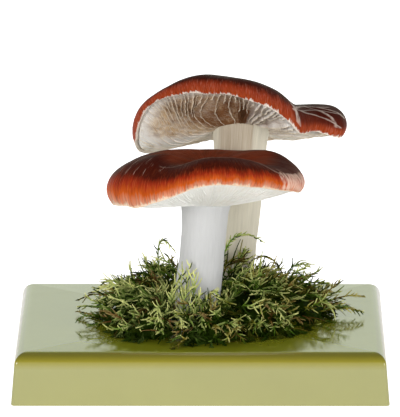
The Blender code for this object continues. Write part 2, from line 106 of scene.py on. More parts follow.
FRONT = Mushroom(
    name="front",
    foot=(-4.0, -30),
    joint=(2.5, -30, 86),
    tilt=6,
    roll=1.5,
    stem_radii=(10.5, 11.2, 11.3, 11.1, 10.9, 11.4),
    dip=20.5,
    gill_depth=7,
    stations=(
        (0, 49.5, 0.70, 25.5, 12.5, 1.5),
        (30, 47, 0.70, 25, 12, 2),
        (60, 49, 0.65, 21, 9, 1.5),
        (90, 47, 0.65, 22.5, 7.5, 1),
        (120, 46.5, 0.70, 25.5, 6, 2),
        (150, 45.5, 0.70, 24.5, 7, 1.5),
        (180, 46, 0.70, 24.5, 8, 1.5),
        (210, 45.5, 0.70, 24, 7, 1.5),
        (240, 46.5, 0.60, 23, 2.5, 1.5),
        (270, 47.5, 0.50, 22, 0, 1.5),
        (300, 50, 0.55, 24.5, 0.5, 2),
        (315, 48, 0.60, 25, 0.5, 1),
        (330, 47.5, 0.70, 21, 4, 1.5),
    ),
    blush=(1.48, 1.64, 1.80, 1.95),
    gills=110,
    seed=3,
)

REAR = Mushroom(
    name="rear",
    foot=(12.0, 32),
    joint=(19.5, 32, 110.5),
    tilt=23,
    roll=-1.5,
    stem_radii=(11.4, 11.8, 12.2, 12.5, 12.7, 13.2),
    dip=13,
    gill_depth=6,
    stations=(
        (0, 49, 0.70, 18, 6, 1.5),
        (30, 41.5, 0.75, 14, -0.5, 1.5),
        (50, 40, 0.60, 11, -7.5, 2),
        (65, 41.5, 0.60, 10.5, -4.5, 1.5),
        (80, 50.5, 0.70, 11.5, -6, 1),
        (90, 51.5, 0.80, 12.5, -1.5, 1.5),
        (100, 51, 0.70, 13.5, 0, 1.5),
        (120, 49, 0.70, 15, 2, 3),
        (150, 46.5, 0.70, 17, 5, 2),
        (180, 46, 0.70, 18, 4, 2.5),
        (210, 47, 0.70, 18, 6, 2),
        (240, 53, 0.70, 16.5, -4, 1),
        (270, 53, 0.80, 12, -4, 4),
        (300, 52, 0.80, 15, 8, 2),
        (330, 49.5, 0.75, 21, 10, 1.5),
    ),
    blush=(1.54, 1.72, 1.96, 1.99),
    gills=54,
    seed=8,
)

MUSHROOMS = (FRONT, REAR)

# Each clump of moss, by its middle in millimetres
CLUMPS = {
    "moss_front_left": (-27, -43),
    "moss_front": (5, -55),
    "moss_front_right": (33, -39),
    "moss_left": (-33, -10),
    "moss_middle": (22, -6),
    "moss_right": (53, 0),
    "moss_back_left": (-20, 25),
    "moss_back_right": (45, 34),
    "moss_back": (10, 54),
}

# Long stray sprigs: the clump, the root, the point that the sprig bends towards, the tip, and how green it is
STRAYS = (
    ("moss_left", (-38, 4, 32), (-50, 14, 37), (-60, 20, 29), 0.1),
    ("moss_front_left", (-32, -35, 29), (-50, -16, 29), (-60, 4, 27), 0.1),
    ("moss_back_left", (-19, 10, 34), (-25, 9, 74), (-12, 8, 55), 0.75),
    ("moss_middle", (9, -6, 36), (9, 2, 77), (31, 8, 60), 0.7),
    ("moss_back_right", (42, 20, 36), (35, 16, 58), (25, 15, 50), 0.25),
    ("moss_right", (56, 8, 29), (72, 14, 35), (80, 20, 31), 0.2),
    ("moss_right", (54, -6, 28), (70, -6, 33), (79, -4, 28), 0.3),
)

# Shorter sprigs that stand out, given in the same way
WISPS = (
    ("moss_front_left", (-9, -44, 36), (-7, -46, 49), (-5, -43, 60), 1.0),
    ("moss_front_left", (-12, -45, 37), (-14, -48, 46), (-10, -49, 53), 0.9),
    ("moss_front", (3, -45, 34), (1, -49, 48), (8, -47, 47), 0.5),
    ("moss_front", (2, -46, 33), (4, -53, 44), (9, -53, 36), 0.3),
    ("moss_front_left", (-17, -44, 36), (-22, -56, 46), (-20, -66, 36), 1.0),
    ("moss_front_left", (-22, -50, 34), (-12, -58, 44), (-8, -66, 33), 0.95),
    ("moss_left", (-30, -14, 38), (-38, -22, 48), (-50, -26, 44), 1.0),
    ("moss_left", (-34, -8, 38), (-40, -8, 47), (-48, -10, 44), 0.85),
    ("moss_front_right", (28, -36, 38), (34, -44, 44), (40, -50, 34), 0.9),
    ("moss_right", (48, -2, 36), (58, -8, 40), (64, -18, 31), 0.6),
    ("moss_back_right", (40, 24, 38), (44, 20, 50), (52, 18, 47), 0.55),
    ("moss_front_left", (-8, -45, 40), (-11, -47, 50), (-8, -44, 57), 0.95),
    ("moss_front_left", (-4, -45, 39), (-3, -47, 49), (-3, -44, 55), 0.9),
    ("moss_front_left", (-13, -46, 35), (-16, -50, 46), (-12, -47, 52), 0.95),
    ("moss_front_left", (-8, -47, 35), (-10, -52, 44), (-4, -49, 50), 0.9),
    ("moss_front_left", (-5, -47, 34), (-9, -50, 41), (-8, -49, 48), 0.8),
    ("moss_front", (-3, -47, 33), (-4, -52, 43), (1, -50, 47), 0.85),
    ("moss_front", (0, -47, 33), (3, -51, 42), (-2, -50, 46), 0.5),
    ("moss_front", (5, -46, 33), (6, -50, 40), (4, -48, 45), 0.2),
    ("moss_front", (-6, -50, 32), (-3, -54, 41), (-6, -52, 43), 0.7),
    ("moss_front_left", (-17, -47, 29), (-13, -50, 34), (-8, -51, 31), 0.6),
    ("moss_front_left", (-8, -47, 28), (-12, -50, 33), (-16, -52, 29), 0.5),
    ("moss_front", (-1, -48, 29), (-6, -51, 33), (-11, -52, 31), 0.6),
)


def screen(red, green, blue):
    """A colour given as it looks on a screen, from 0 to 255."""

    def linear(value):
        value /= 255
        return value / 12.92 if value <= 0.04045 else ((value + 0.055) / 1.055) ** 2.4

    return tuple(linear(value) for value in (red, green, blue))


def colour(name, description, *value):
    return bpy.props.FloatVectorProperty(
        name=name, description=description, subtype="COLOR", size=3, min=0, max=1, default=screen(*value)
    )


def length(name, description, millimetres):
    size = millimetres * MM
    return bpy.props.FloatProperty(name=name, description=description, unit="LENGTH", default=size)


def factor(name, description, value):
    return bpy.props.FloatProperty(name=name, description=description, subtype="FACTOR", default=value)


def power(name, description, watts):
    return bpy.props.FloatProperty(name=name, description=description, unit="POWER", default=watts)


def tones_of(look, *keys):
    """The colours of these names in a group of settings."""
    return {key: tuple(getattr(look, key)) for key in keys}


def between(first, second, amount):
    """A colour that lies an amount of the way from one to another."""
    return tuple(mix(a, b, amount) for a, b in zip(first, second))


def shaded(tone, amount):
    return tuple(value * amount for value in tone)


# Settings


class PlinthSettings(bpy.types.PropertyGroup):
    side: bpy.props.FloatProperty(
        name="Side", description="Length of one side at the floor", unit="LENGTH",
        default=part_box("plinth")[1][0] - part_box("plinth")[0][0],
    )
    height: bpy.props.FloatProperty(
        name="Height", description="Height of the top", unit="LENGTH", default=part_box("plinth")[1][2]
    )
    wall: length("Wall", "Thickness of the moulded wall", 3)
    edge_radius: length("Edge radius", "Rounding between the top and the walls", 6)
    corner_radius: length("Corner radius", "Rounding of the four upright edges", 2)
    # The plastic's olive, made paler by a painted whitish reflection
    body: colour("Walls", "Colour of the plastic on the walls", 152, 150, 88)
    # Darker olive: a painted dark reflection on the rounded edge
    rim: colour("Rounded edge", "Colour of the plastic on the rounded top edge", 144, 134, 26)
    # Darkest: a painted dark reflection in a band just below the top
    lip_dark_reflection: colour("Lip", "Colour of the plastic just below the top", 116, 110, 18)
    top: colour("Top", "Colour of the plastic on the top", 140, 144, 34)
    roughness: factor("Roughness", "How blurred reflections are", 0.1)


class CapSettings(bpy.types.PropertyGroup):
    crown: colour("Crown", "Colour in the hollow middle of the cap", 122, 50, 26)
    dark: colour("Upper face", "Colour just below the crest", 66, 17, 7)
    red: colour("Middle face", "Colour half-way down to the edge", 150, 42, 14)
    orange: colour("Lower face", "Colour near the edge", 193, 83, 16)
    edge: colour("Edge", "Colour of the thin edge", 238, 212, 186)
    # Pale streaks: partly wear, partly painted sheen; the painted highlight along the creases uses it too
    bloom: colour("Bloom", "Colour of the pale streaks", 226, 190, 170)
    flute: length("Flutes", "Depth of the fine grooves along the edge", 0.16)
    roughness: factor("Roughness", "How blurred reflections are", 0.46)


class GillSettings(bpy.types.PropertyGroup):
    thickness: length("Thickness", "Thickness of one gill", 0.26)
    ripple: length("Ripple", "How far a gill waves to each side", 1.1)
    ripple_length: length("Ripple length", "Length of one wave along a gill", 3.6)
    pale: colour("Gill", "Colour of a gill's free edge", 246, 240, 222)
    clean: colour("Gill side", "Colour of a clean gill's side", 243, 242, 238)
    cream: colour("Aged gill side", "Colour of an aged gill's side", 216, 188, 150)
    # Partly real stain, partly painted shade deep between the gills
    stain: colour("Stain", "Colour deep between stained gills", 132, 84, 44)


class StemSettings(bpy.types.PropertyGroup):
    fibre: length("Fibres", "Height of the fibres that run up a stem", 0.14)
    white: colour("Stem", "Colour of a clean stem", 194, 194, 194)
    cream: colour("Aged stem", "Colour of an aged stem", 224, 217, 197)
    stain: colour("Stain", "Colour of the brown stains", 150, 118, 84)


class MossSettings(bpy.types.PropertyGroup):
    spacing: length("Spacing", "Distance between the sprigs", 5.6)
    branch: length("Side branch", "Length of the longest side branches", 7)
    branch_spacing: length("Branch spacing", "Distance between side branches on one side", 3.2)
    leaf_length: length("Leaf length", "Length of one leaf", 0.85)
    leaf_width: length("Leaf width", "Width of one leaf", 0.4)
    leaf_spacing: length("Leaf spacing", "Distance between leaves along a branch", 0.38)
    seed: bpy.props.IntProperty(name="Seed", description="Changes how the fine sprigs lie", default=5)
    # The newest tips' colour, also used for the painted highlight on tips that face up and get light
    bright: colour("Young leaves", "Colour of the youngest tips", 255, 252, 170)
    green: colour("Leaves", "Colour of fresh leaves", 110, 156, 42)
    olive: colour("Old leaves", "Colour of old leaves", 158, 144, 54)
    brown: colour("Dead leaves", "Colour of dead sprigs", 118, 72, 40)


class StageSettings(bpy.types.PropertyGroup):
    floor: colour("Floor", "Colour of the floor", 255, 255, 255)
    key: power("Key light", "Strength of the left front light", 34)
    fill: power("Fill light", "Strength of the right front light", 24)
    surround: factor("Surround", "Brightness of the white surround", 1.0)


SETTINGS = {
    "plinth": PlinthSettings,
    "caps": CapSettings,
    "gills": GillSettings,
    "stems": StemSettings,
    "moss": MossSettings,
    "stage": StageSettings,
}


def settings(name):
    return getattr(bpy.context.scene, "sickener_" + name)


# The shape's rules, as in the solids


def smooth(value):
    """0 to 1 with no slope at either end."""
    value = max(0.0, min(1.0, value))
    return value * value * (3 - 2 * value)


def window(value, low, high, blur):
    """1 between low and high, falling to 0 over the blur on each side."""
    return smooth((value - low) / blur + 1) * smooth((high - value) / blur + 1)


def mix(a, b, amount):
    return a + (b - a) * amount


def around(mushroom, column, azimuth):
    """A station column's value at an azimuth, on a smooth closed curve through the stations."""
    rows = mushroom.stations
    count = len(rows)
    degrees = math.degrees(azimuth) % 360
    index = max(k for k in range(count) if rows[k][0] <= degrees)

    def station(k):
        turns, row = divmod(k, count)
        return rows[row][0] + 360 * turns, rows[row][column]

    (a0, v0), (a1, v1), (a2, v2), (a3, v3) = (station(index + k) for k in (-1, 0, 1, 2))
    first, step, last = a1 - a0, a2 - a1, a3 - a2
    leave = ((v1 - v0) / first * step + (v2 - v1) / step * first) / (first + step) * step
    arrive = ((v2 - v1) / step * last + (v3 - v2) / last * step) / (step + last) * step
    t = (degrees - a1) / step
    value = v1 * (2 * t**3 - 3 * t**2 + 1) + leave * (t**3 - 2 * t**2 + t)
    return value + v2 * (3 * t**2 - 2 * t**3) + arrive * (t**3 - t**2)


def cap_frame(mushroom):
    """Places the joint in the world: x to the right, -y to the front and z square to the cap."""
    lean_back = Matrix.Rotation(-math.radians(mushroom.tilt), 4, "X")
    lean_right = Matrix.Rotation(math.radians(mushroom.roll), 4, "Y")
    return Matrix.Translation(Vector(mushroom.joint) * MM) @ lean_right @ lean_back


CAP_FRAMES = {mushroom.name: cap_frame(mushroom) for mushroom in MUSHROOMS}


def polar(radius, azimuth, height):
    """A point at an azimuth from the front, going by the right."""
    return Vector((radius * math.sin(azimuth), -radius * math.cos(azimuth), height))


def cap_dome(mushroom, azimuth, part, depth):
    """Radius and height from the cap's middle (0) to its crest (1), at a depth below its skin."""
    margin = around(mushroom, MARGIN_RADIUS, azimuth) * MM
    crest = around(mushroom, CREST_HEIGHT, azimuth) * MM
    dip = mushroom.dip * MM
    radius = part * around(mushroom, CREST_SHARE, azimuth) * margin
    return radius, dip + (crest - dip) * smooth(part) - depth


def cap_roll(mushroom, azimuth, turn, depth):
    """Radius and height on the margin, which curls from the crest (0) to the edge (ROLL_END)."""
    margin = around(mushroom, MARGIN_RADIUS, azimuth) * MM
    crest = around(mushroom, CREST_HEIGHT, azimuth) * MM
    edge = around(mushroom, MARGIN_HEIGHT, azimuth) * MM
    crest_radius = around(mushroom, CREST_SHARE, azimuth) * margin
    middle = (edge - crest * math.cos(ROLL_END)) / (1 - math.cos(ROLL_END))
    across, down = margin - crest_radius, crest - middle
    slope = math.hypot(down * math.sin(turn), across * math.cos(turn))
    radius = crest_radius + (across - depth * down / slope) * math.sin(turn)
    height = middle + (down - depth * across / slope) * math.cos(turn)
    return radius, height


def flesh_at(turn):
    """The cap's thickness, which thins out towards its edge."""
    return mix(CAP_FLESH, MARGIN_FLESH, min(1.0, turn / ROLL_END))


def flesh_floor(mushroom, azimuth, radius):
    """The height of the cap's underside at a radius."""
    margin = around(mushroom, MARGIN_RADIUS, azimuth) * MM
    crest_radius = around(mushroom, CREST_SHARE, azimuth) * margin
    if radius <= crest_radius:
        return cap_dome(mushroom, azimuth, radius / crest_radius, CAP_FLESH)[1]
    turn = math.asin(min(1.0, (radius - crest_radius) / (margin - crest_radius)))
    return cap_roll(mushroom, azimuth, turn, flesh_at(turn))[1]


SEED_STEP = 7.3


def ring_noise(azimuth, turns, along, seed):
    """Noise from -1 to 1 that closes on itself round a mushroom."""
    radius = turns / math.tau
    place = Vector((radius * math.cos(azimuth), radius * math.sin(azimuth), along))
    return noise.noise(place + Vector((seed * SEED_STEP,) * 3))


def patches(azimuth, turns, along, seed):
    """Soft patches round a mushroom: 0 to 1."""
    return 0.5 + 0.5 * ring_noise(azimuth, turns, along, seed)


def signed_degrees(azimuth):
    return (math.degrees(azimuth) + 180) % 360 - 180


# Meshes


def azimuths(count):
    return [math.tau * k / count for k in range(count)]


def skin_place(azimuth, along):
    """Where a point lies on a mushroom's skin: cosine and sine round it, and how far along it."""
    return math.cos(azimuth), math.sin(azimuth), along


def new_object(name, verts, faces, attributes=None, edges=()):
    """A mesh object. Each attribute is a list of numbers, or of vectors, one for each vertex."""
    mesh = bpy.data.meshes.new(name)
    mesh.from_pydata(verts, edges, faces)
    for key, values in (attributes or {}).items():
        if isinstance(values[0], (tuple, Vector)):
            made = mesh.attributes.new(key, "FLOAT_VECTOR", "POINT")
            made.data.foreach_set("vector", [part for value in values for part in value])
        else:
            mesh.attributes.new(key, "FLOAT", "POINT").data.foreach_set("value", values)
    made = bpy.data.objects.new(name, mesh)
    bpy.context.scene.collection.objects.link(made)
    return made


def face_out(made):
    bm = bmesh.new()
    bm.from_mesh(made.data)
    bmesh.ops.recalc_face_normals(bm, faces=bm.faces)
    bm.to_mesh(made.data)
    bm.free()


def loft(rings, start, end):
    """Vertices and faces of a closed form through equal rings, closed by a point at each end."""
    verts = [point for ring in rings for point in ring] + [start, end]
    count, faces = len(rings[0]), []
    for row in range(len(rings) - 1):
        for k in range(count):
            after = (k + 1) % count
            low, high = row * count, (row + 1) * count
            faces.append((low + k, low + after, high + after, high + k))
    last = (len(rings) - 1) * count
    for k in range(count):
        after = (k + 1) % count
        faces.append((after, k, len(verts) - 2))
        faces.append((last + k, last + after, len(verts) - 1))
    return verts, faces


def finish_piece(made, nodes, smooth_angle):
    """Shades a piece, sharp where its faces meet at a wider angle, and puts it in its CAD nodes' place."""
    made.data.shade_smooth()
    if smooth_angle:
        made.data.set_sharp_from_angle(angle=math.radians(smooth_angle))
    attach(made, "root")
    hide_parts(*nodes)


def plain_mesh(made):
    """Turns what an object's modifiers give into its own mesh."""
    graph = bpy.context.evaluated_depsgraph_get()
    mesh = bpy.data.meshes.new_from_object(made.evaluated_get(graph))
    made.modifiers.clear()
    old = made.data
    made.data = mesh
    mesh.name = made.name
    bpy.data.meshes.remove(old)


# Node trees


def feed(tree, socket, value):
    if isinstance(value, bpy.types.NodeSocket):
        tree.links.new(value, socket)
    else:
        socket.default_value = value


def add(tree, kind, *inputs, outputs=None, **options):
    """Adds a node, sets its options, and feeds its inputs: in order, or by name from a dictionary."""
    made = tree.nodes.new(kind)
    for key, value in options.items():
        setattr(made, key, value)
    for k, value in enumerate(inputs):
        if isinstance(value, dict):
            for key, fed in value.items():
                feed(tree, made.inputs[key], fed)
        else:
            feed(tree, made.inputs[k], value)
    return made.outputs[outputs or 0]


def calc(tree, operation, a, b, clamp=False):
    return add(tree, "ShaderNodeMath", a, b, operation=operation, use_clamp=clamp)


def swing(tree, value, amount):
    """Turns a value that lies about a half into one about 0, this many times as strong."""
    return calc(tree, "MULTIPLY", calc(tree, "SUBTRACT", value, 0.5), amount)


def remap(tree, value, low, high, to_low=0.0, to_high=1.0):
    """The value stretched from one range to another, and held at its ends."""
    return add(
        tree, "ShaderNodeMapRange",
        {"Value": value, "From Min": low, "From Max": high, "To Min": to_low, "To Max": to_high},
    )


def attribute(tree, name, output="Fac"):
    return add(tree, "ShaderNodeAttribute", attribute_name=name, outputs=output)


def blend(tree, amount, first, second, how="MIX"):
    """A mix of two colours."""
    made = tree.nodes.new("ShaderNodeMix")
    made.data_type, made.blend_type = "RGBA", how
    sides = [socket for socket in made.inputs if socket.type == "RGBA"]
    feed(tree, made.inputs["Factor"], amount)
    for socket, value in zip(sides, (first, second)):
        feed(tree, socket, (*value, 1) if not isinstance(value, bpy.types.NodeSocket) else value)
    return next(socket for socket in made.outputs if socket.type == "RGBA")


def ramp(tree, value, *stops):
    """A colour ramp through stops of place and colour, with its two ends first."""
    made = tree.nodes.new("ShaderNodeValToRGB")
    feed(tree, made.inputs["Fac"], value)
    for k, (place, tone) in enumerate(stops):
        stop = made.color_ramp.elements[k] if k < 2 else made.color_ramp.elements.new(place)
        stop.position = place
        stop.color = (*tone, 1)
    return made.outputs["Color"]


def effect(name, inputs, outputs):
    """An empty shader group with named sockets, and its input and output nodes."""
    tree = bpy.data.node_groups.new(name, "ShaderNodeTree")
    kinds = {"VALUE": "NodeSocketFloat", "VECTOR": "NodeSocketVector"}
    for key, (kind, value) in inputs.items():
        socket = tree.interface.new_socket(name=key, in_out="INPUT", socket_type=kinds[kind])
        if value is not None:
            socket.default_value = value
    for key in outputs:
        tree.interface.new_socket(name=key, in_out="OUTPUT", socket_type="NodeSocketFloat")
    return tree, tree.nodes.new("NodeGroupInput"), tree.nodes.new("NodeGroupOutput")


def mottle_effect():
    """Soft blotches with finer grain in them."""
    found = bpy.data.node_groups.get("Mottle")
    if found:
        return found
    tree, given, result = effect(
        "Mottle", {"Place": ("VECTOR", None), "Scale": ("VALUE", 100.0), "Grain": ("VALUE", 0.4)}, ("Value",)
    )
    place, scale = given.outputs["Place"], given.outputs["Scale"]
    large = add(tree, "ShaderNodeTexNoise", {"Vector": place, "Scale": scale, "Detail": 3.0})
    fine_scale = calc(tree, "MULTIPLY", scale, 7.0)
    fine = add(tree, "ShaderNodeTexNoise", {"Vector": place, "Scale": fine_scale, "Detail": 2.0})
    grain = swing(tree, fine, given.outputs["Grain"])
    feed(tree, result.inputs["Value"], calc(tree, "ADD", large, grain))
    return tree


def fibre_effect():
    """Fine streaks along a surface: its place is cosine and sine round the piece, and the way along it."""
    found = bpy.data.node_groups.get("Fibres")
    if found:
        return found
    inputs = {"Place": ("VECTOR", None), "Count": ("VALUE", 40.0), "Length": ("VALUE", 1.0)}
    tree, given, result = effect("Fibres", inputs, ("Fine", "Broad"))
    for output, narrowness in (("Fine", 1.0), ("Broad", 0.28)):
        count = calc(tree, "MULTIPLY", given.outputs["Count"], narrowness)
        scale = add(tree, "ShaderNodeCombineXYZ", count, count, given.outputs["Length"])
        place = add(tree, "ShaderNodeVectorMath", given.outputs["Place"], scale, operation="MULTIPLY")
        texture = {"Vector": place, "Scale": 1.0, "Detail": 3.0, "Roughness": 0.6}
        feed(tree, result.inputs[output], add(tree, "ShaderNodeTexNoise", texture))
    return tree


def use_effect(tree, group, output, **inputs):
    made = tree.nodes.new("ShaderNodeGroup")
    made.node_tree = group
    for key, value in inputs.items():
        feed(tree, made.inputs[key], value)
    return made.outputs[output]


def mottle(tree, place, scale, grain):
    return use_effect(tree, mottle_effect(), "Value", Place=place, Scale=scale, Grain=grain)


def fibres(tree, output, place, count, along):
    return use_effect(tree, fibre_effect(), output, Place=place, Count=count, Length=along)


def surface(name, **uniform):
    """A material, its tree and its shader, with the values that are the same all over."""
    made = bpy.data.materials.new(name)
    made.use_nodes = True
    tree = made.node_tree
    shader = tree.nodes["Principled BSDF"]
    for key, value in uniform.items():
        shader.inputs[key.replace("_", " ").title().replace("Ior", "IOR")].default_value = value
    return made, tree, shader


def add_bump(tree, shader, height, distance, strength=1.0):
    normal = add(tree, "ShaderNodeBump", {"Height": height, "Distance": distance, "Strength": strength})
    feed(tree, shader.inputs["Normal"], normal)


def geometry_tree(name, inputs):
    """An empty geometry tree with named inputs, its input node, and a function that ends the tree."""
    tree = bpy.data.node_groups.new(name, "GeometryNodeTree")
    tree.interface.new_socket(name="Geometry", in_out="INPUT", socket_type="NodeSocketGeometry")
    for key, value in inputs.items():
        kind = "NodeSocketInt" if isinstance(value, int) else "NodeSocketFloat"
        tree.interface.new_socket(name=key, in_out="INPUT", socket_type=kind).default_value = value
    tree.interface.new_socket(name="Material", in_out="INPUT", socket_type="NodeSocketMaterial")
    tree.interface.new_socket(name="Geometry", in_out="OUTPUT", socket_type="NodeSocketGeometry")
    given, result = tree.nodes.new("NodeGroupInput"), tree.nodes.new("NodeGroupOutput")

    def end(geometry):
        real = add(tree, "GeometryNodeRealizeInstances", geometry)
        paint = {"Geometry": real, "Material": given.outputs["Material"]}
        feed(tree, result.inputs["Geometry"], add(tree, "GeometryNodeSetMaterial", paint))

    return tree, given, end


def named(tree, name, kind="FLOAT"):
    """A mesh attribute in a geometry tree."""
    return add(tree, "GeometryNodeInputNamedAttribute", {"Name": name}, data_type=kind, outputs="Attribute")


def parted(tree, geometry, chosen):
    """The chosen faces of a geometry, and the rest."""
    split = tree.nodes.new("GeometryNodeSeparateGeometry")
    split.domain = "FACE"
    feed(tree, split.inputs["Geometry"], geometry)
    feed(tree, split.inputs["Selection"], chosen)
    return split.outputs["Selection"], split.outputs["Inverted"]


def joined(tree, *parts):
    made = tree.nodes.new("GeometryNodeJoinGeometry")
    for part in parts:
        tree.links.new(part, made.inputs["Geometry"])
    return made.outputs[0]


def grow(made, tree, **inputs):
    """Runs a geometry tree on an object and keeps the result as a plain mesh."""
    modifier = made.modifiers.new("grow", "NODES")
    modifier.node_group = tree
    sockets = {item.name: item.identifier for item in tree.interface.items_tree if item.in_out == "INPUT"}
    for key, value in inputs.items():
        modifier[sockets[key.replace("_", " ")]] = value
    plain_mesh(made)


# Plinth

CORNER_STEPS = 10
SOCKET_SIDES = 72
EDGE_STEPS = 12
SMALLEST_CORNER = 1.5 * MM

# How the walls are rounded at the floor: inset and height in millimetres
FOOT_ROUNDING = ((0.5, 0), (0.15, 0.15), (0.04, 0.5))


def plinth_ring(sizes, inset, height, wall=0.0):
    """A rounded square, inset from the plinth's footprint, and by a wall's thickness as well."""
    half = sizes.side / 2 - inset - wall
    corner = max(sizes.corner_radius - inset - wall, SMALLEST_CORNER)
    points = []
    for quarter in range(4):
        turn = quarter * math.pi / 2
        middle = Vector((half - corner, half - corner)) @ Matrix.Rotation(-turn, 2)
        for step in range(CORNER_STEPS + 1):
            angle = turn + step / CORNER_STEPS * math.pi / 2
            x, y = middle.x + corner * math.cos(angle), middle.y + corner * math.sin(angle)
            points.append(Vector((x, y, height)))
    return points


def drum(name, x, y, radius, bottom, top):
    rings = [[Vector((x, y, z)) + polar(radius, a, 0) for a in azimuths(SOCKET_SIDES)] for z in (bottom, top)]
    verts, faces = loft(rings, Vector((x, y, bottom)), Vector((x, y, top)))
    made = new_object(name, verts, faces)
    face_out(made)
    return made


def combine(target, operation, tools):
    """Joins tools to the target, or cuts it with them, and removes them."""
    collection = bpy.data.collections.new("tools")
    for tool in tools:
        collection.objects.link(tool)
    change = target.modifiers.new("combine", "BOOLEAN")
    change.operation, change.solver, change.operand_type = operation, "EXACT", "COLLECTION"
    change.collection = collection
    plain_mesh(target)
    for tool in tools:
        bpy.data.objects.remove(tool)
    bpy.data.collections.remove(collection)


def plinth_plastic(sizes):
    """Glossy olive plastic, with the faint waviness of a moulding and a little dust in its shine. Its colour
    changes with height: a painted whitish reflection makes the walls paler, and a painted dark reflection
    makes the rounded edge and the band below the top darker.
    """
    made, tree, shader = surface("plinth_plastic", roughness=sizes.roughness, ior=1.8)
    place = add(tree, "ShaderNodeTexCoord", outputs="Object")
    clouds = mottle(tree, place, 28.0, 0.25)
    height = add(tree, "ShaderNodeSeparateXYZ", place, outputs="Z")
    level = remap(tree, height, sizes.height - 10 * MM, sizes.height)
    body, rim, lip_dark_reflection, top = tones_of(sizes, "body", "rim", "lip_dark_reflection", "top").values()
    # Colour by height: a painted whitish reflection on the walls, and a painted dark reflection on the
    # rounded edge and just below the top
    tone = ramp(
        tree, level,
        (0.22, body), (1.0, top), (0.42, between(body, rim, 0.6)), (0.6, rim),
        (0.86, lip_dark_reflection), (0.955, lip_dark_reflection), (0.985, top),
    )
    base = blend(tree, remap(tree, clouds, 0.25, 0.75), tone, shaded(WHITE, 0.93), "MULTIPLY")
    feed(tree, shader.inputs["Base Color"], base)
    dust = mottle(tree, place, 90.0, 0.9)
    shine = remap(tree, dust, 0.3, 0.8, sizes.roughness * 0.8, sizes.roughness * 1.5)
    feed(tree, shader.inputs["Roughness"], shine)
    wave = add(tree, "ShaderNodeTexNoise", {"Vector": place, "Scale": 55.0, "Detail": 1.0})
    add_bump(tree, shader, wave, 0.00006)
    return made


def make_plinth():
    """A hollow shell with rounded edges, and a socket for each stem."""
    sizes = settings("plinth")
    shoulder = sizes.height - sizes.edge_radius
    lean = PLINTH_DRAFT * shoulder
    ceiling = sizes.height - sizes.wall
    rings = [
        plinth_ring(sizes, lean + sizes.wall, ceiling, sizes.wall),
        plinth_ring(sizes, lean, shoulder - sizes.wall, sizes.wall),
        plinth_ring(sizes, 0, 0, sizes.wall),
    ]
    rings += [plinth_ring(sizes, inset * MM, height * MM) for inset, height in FOOT_ROUNDING]
    rings.append(plinth_ring(sizes, lean, shoulder))
    for step in range(1, EDGE_STEPS + 1):
        angle = step / EDGE_STEPS * math.pi / 2
        inset = lean + sizes.edge_radius * (1 - math.cos(angle))
        rings.append(plinth_ring(sizes, inset, shoulder + sizes.edge_radius * math.sin(angle)))
    verts, faces = loft(rings, Vector((0, 0, ceiling)), Vector((0, 0, sizes.height)))
    plinth = new_object("plinth_shell", verts, faces)
    face_out(plinth)
    bosses, cutters = [], []
    for mushroom in MUSHROOMS:
        x, y = (value * MM for value in mushroom.foot)
        hole = mushroom.stem_radii[0] * MM + GAP
        floor = sizes.height - SOCKET_DEPTH
        bosses.append(drum("boss", x, y, hole + sizes.wall, floor - sizes.wall, ceiling + MM))
        cutters.append(drum("cutter", x, y, hole, floor, sizes.height + MM))
    combine(plinth, "UNION", bosses)
    combine(plinth, "DIFFERENCE", cutters)
    plinth.data.materials.clear()
    plinth.data.materials.append(plinth_plastic(sizes))
    finish_piece(plinth, ["plinth"], 32)


# Caps

CAP_SIDES = 256
DOME_RINGS = 16
ROLL_RINGS = 52
UNDER_RINGS = 9
EDGE_BULGE = 0.012

# How far the skin's lumps and creases stand out
LUMPS = 0.45 * MM
SMALL_LUMPS = 0.16 * MM
CREASE_HEIGHT = 0.3 * MM

# A crease's width, where the way from crest to edge counts as 1, and what a degree round the cap counts as
CREASE_WIDTH = 0.014
CREASE_SCALE = 0.012

# The rear cap has dried more, so its colours are turned towards these; its pale streaks are partly painted
# sheen
DRIED_WEAR_AND_SHEEN = screen(246, 240, 228)
DRIED_RED = screen(134, 62, 36)
DRIED_EDGE = screen(250, 246, 238)

# Creases in the skin, raised and painted pale as a highlight along each fold: points of azimuth and place,
# then how strong each crease is
CREASES = {
    "front": (
        (
            ((-34, 1.26), (-24, 1.19), (-12, 1.15), (8, 1.12), (26, 1.08), (38, 1.2), (45, 1.45), (54, 1.66)),
            0.75,
        ),
        (((50, 1.35), (58, 1.6), (63, 1.9)), 0.7),
    ),
    "rear": (
        (((40, 1.66), (46, 1.5), (54, 1.4), (64, 1.34), (78, 1.3)), 1.1),
        (((44, 1.58), (58, 1.5), (70, 1.46), (82, 1.5)), 0.8),
        (((48, 1.55), (60, 1.6), (70, 1.68), (78, 1.8)), 0.9),
        (((42, 1.5), (44, 1.7), (46, 1.88)), 0.8),
        (((62, 1.36), (69, 1.46), (73, 1.62), (75, 1.8)), 0.9),
        (((72, 1.34), (80, 1.46), (84, 1.62)), 0.9),
        (((38, 1.45), (42, 1.62), (43, 1.86)), 1.0),
    ),
}


def on_line(line, azimuth, place):
    """How close a point of the skin is to a crease: its strength on it, and 0 away from it."""
    points, strength = line
    across = signed_degrees(azimuth) * CREASE_SCALE
    nearest = math.inf
    for (from_degrees, low), (to_degrees, high) in zip(points, points[1:]):
        start, end = from_degrees * CREASE_SCALE, to_degrees * CREASE_SCALE
        along = (across - start) * (end - start) + (place - low) * (high - low)
        along /= (end - start) ** 2 + (high - low) ** 2
        along = max(0.0, min(1.0, along))
        nearest = min(nearest, math.hypot(across - mix(start, end, along), place - mix(low, high, along)))
    wander = 1 + 0.5 * ring_noise(azimuth, 60, place * 9, 31)
    return strength * math.exp(-((nearest / (CREASE_WIDTH * wander)) ** 2))


def cap_crease(mushroom, azimuth, place):
    return max(on_line(line, azimuth, place) for line in CREASES[mushroom.name])


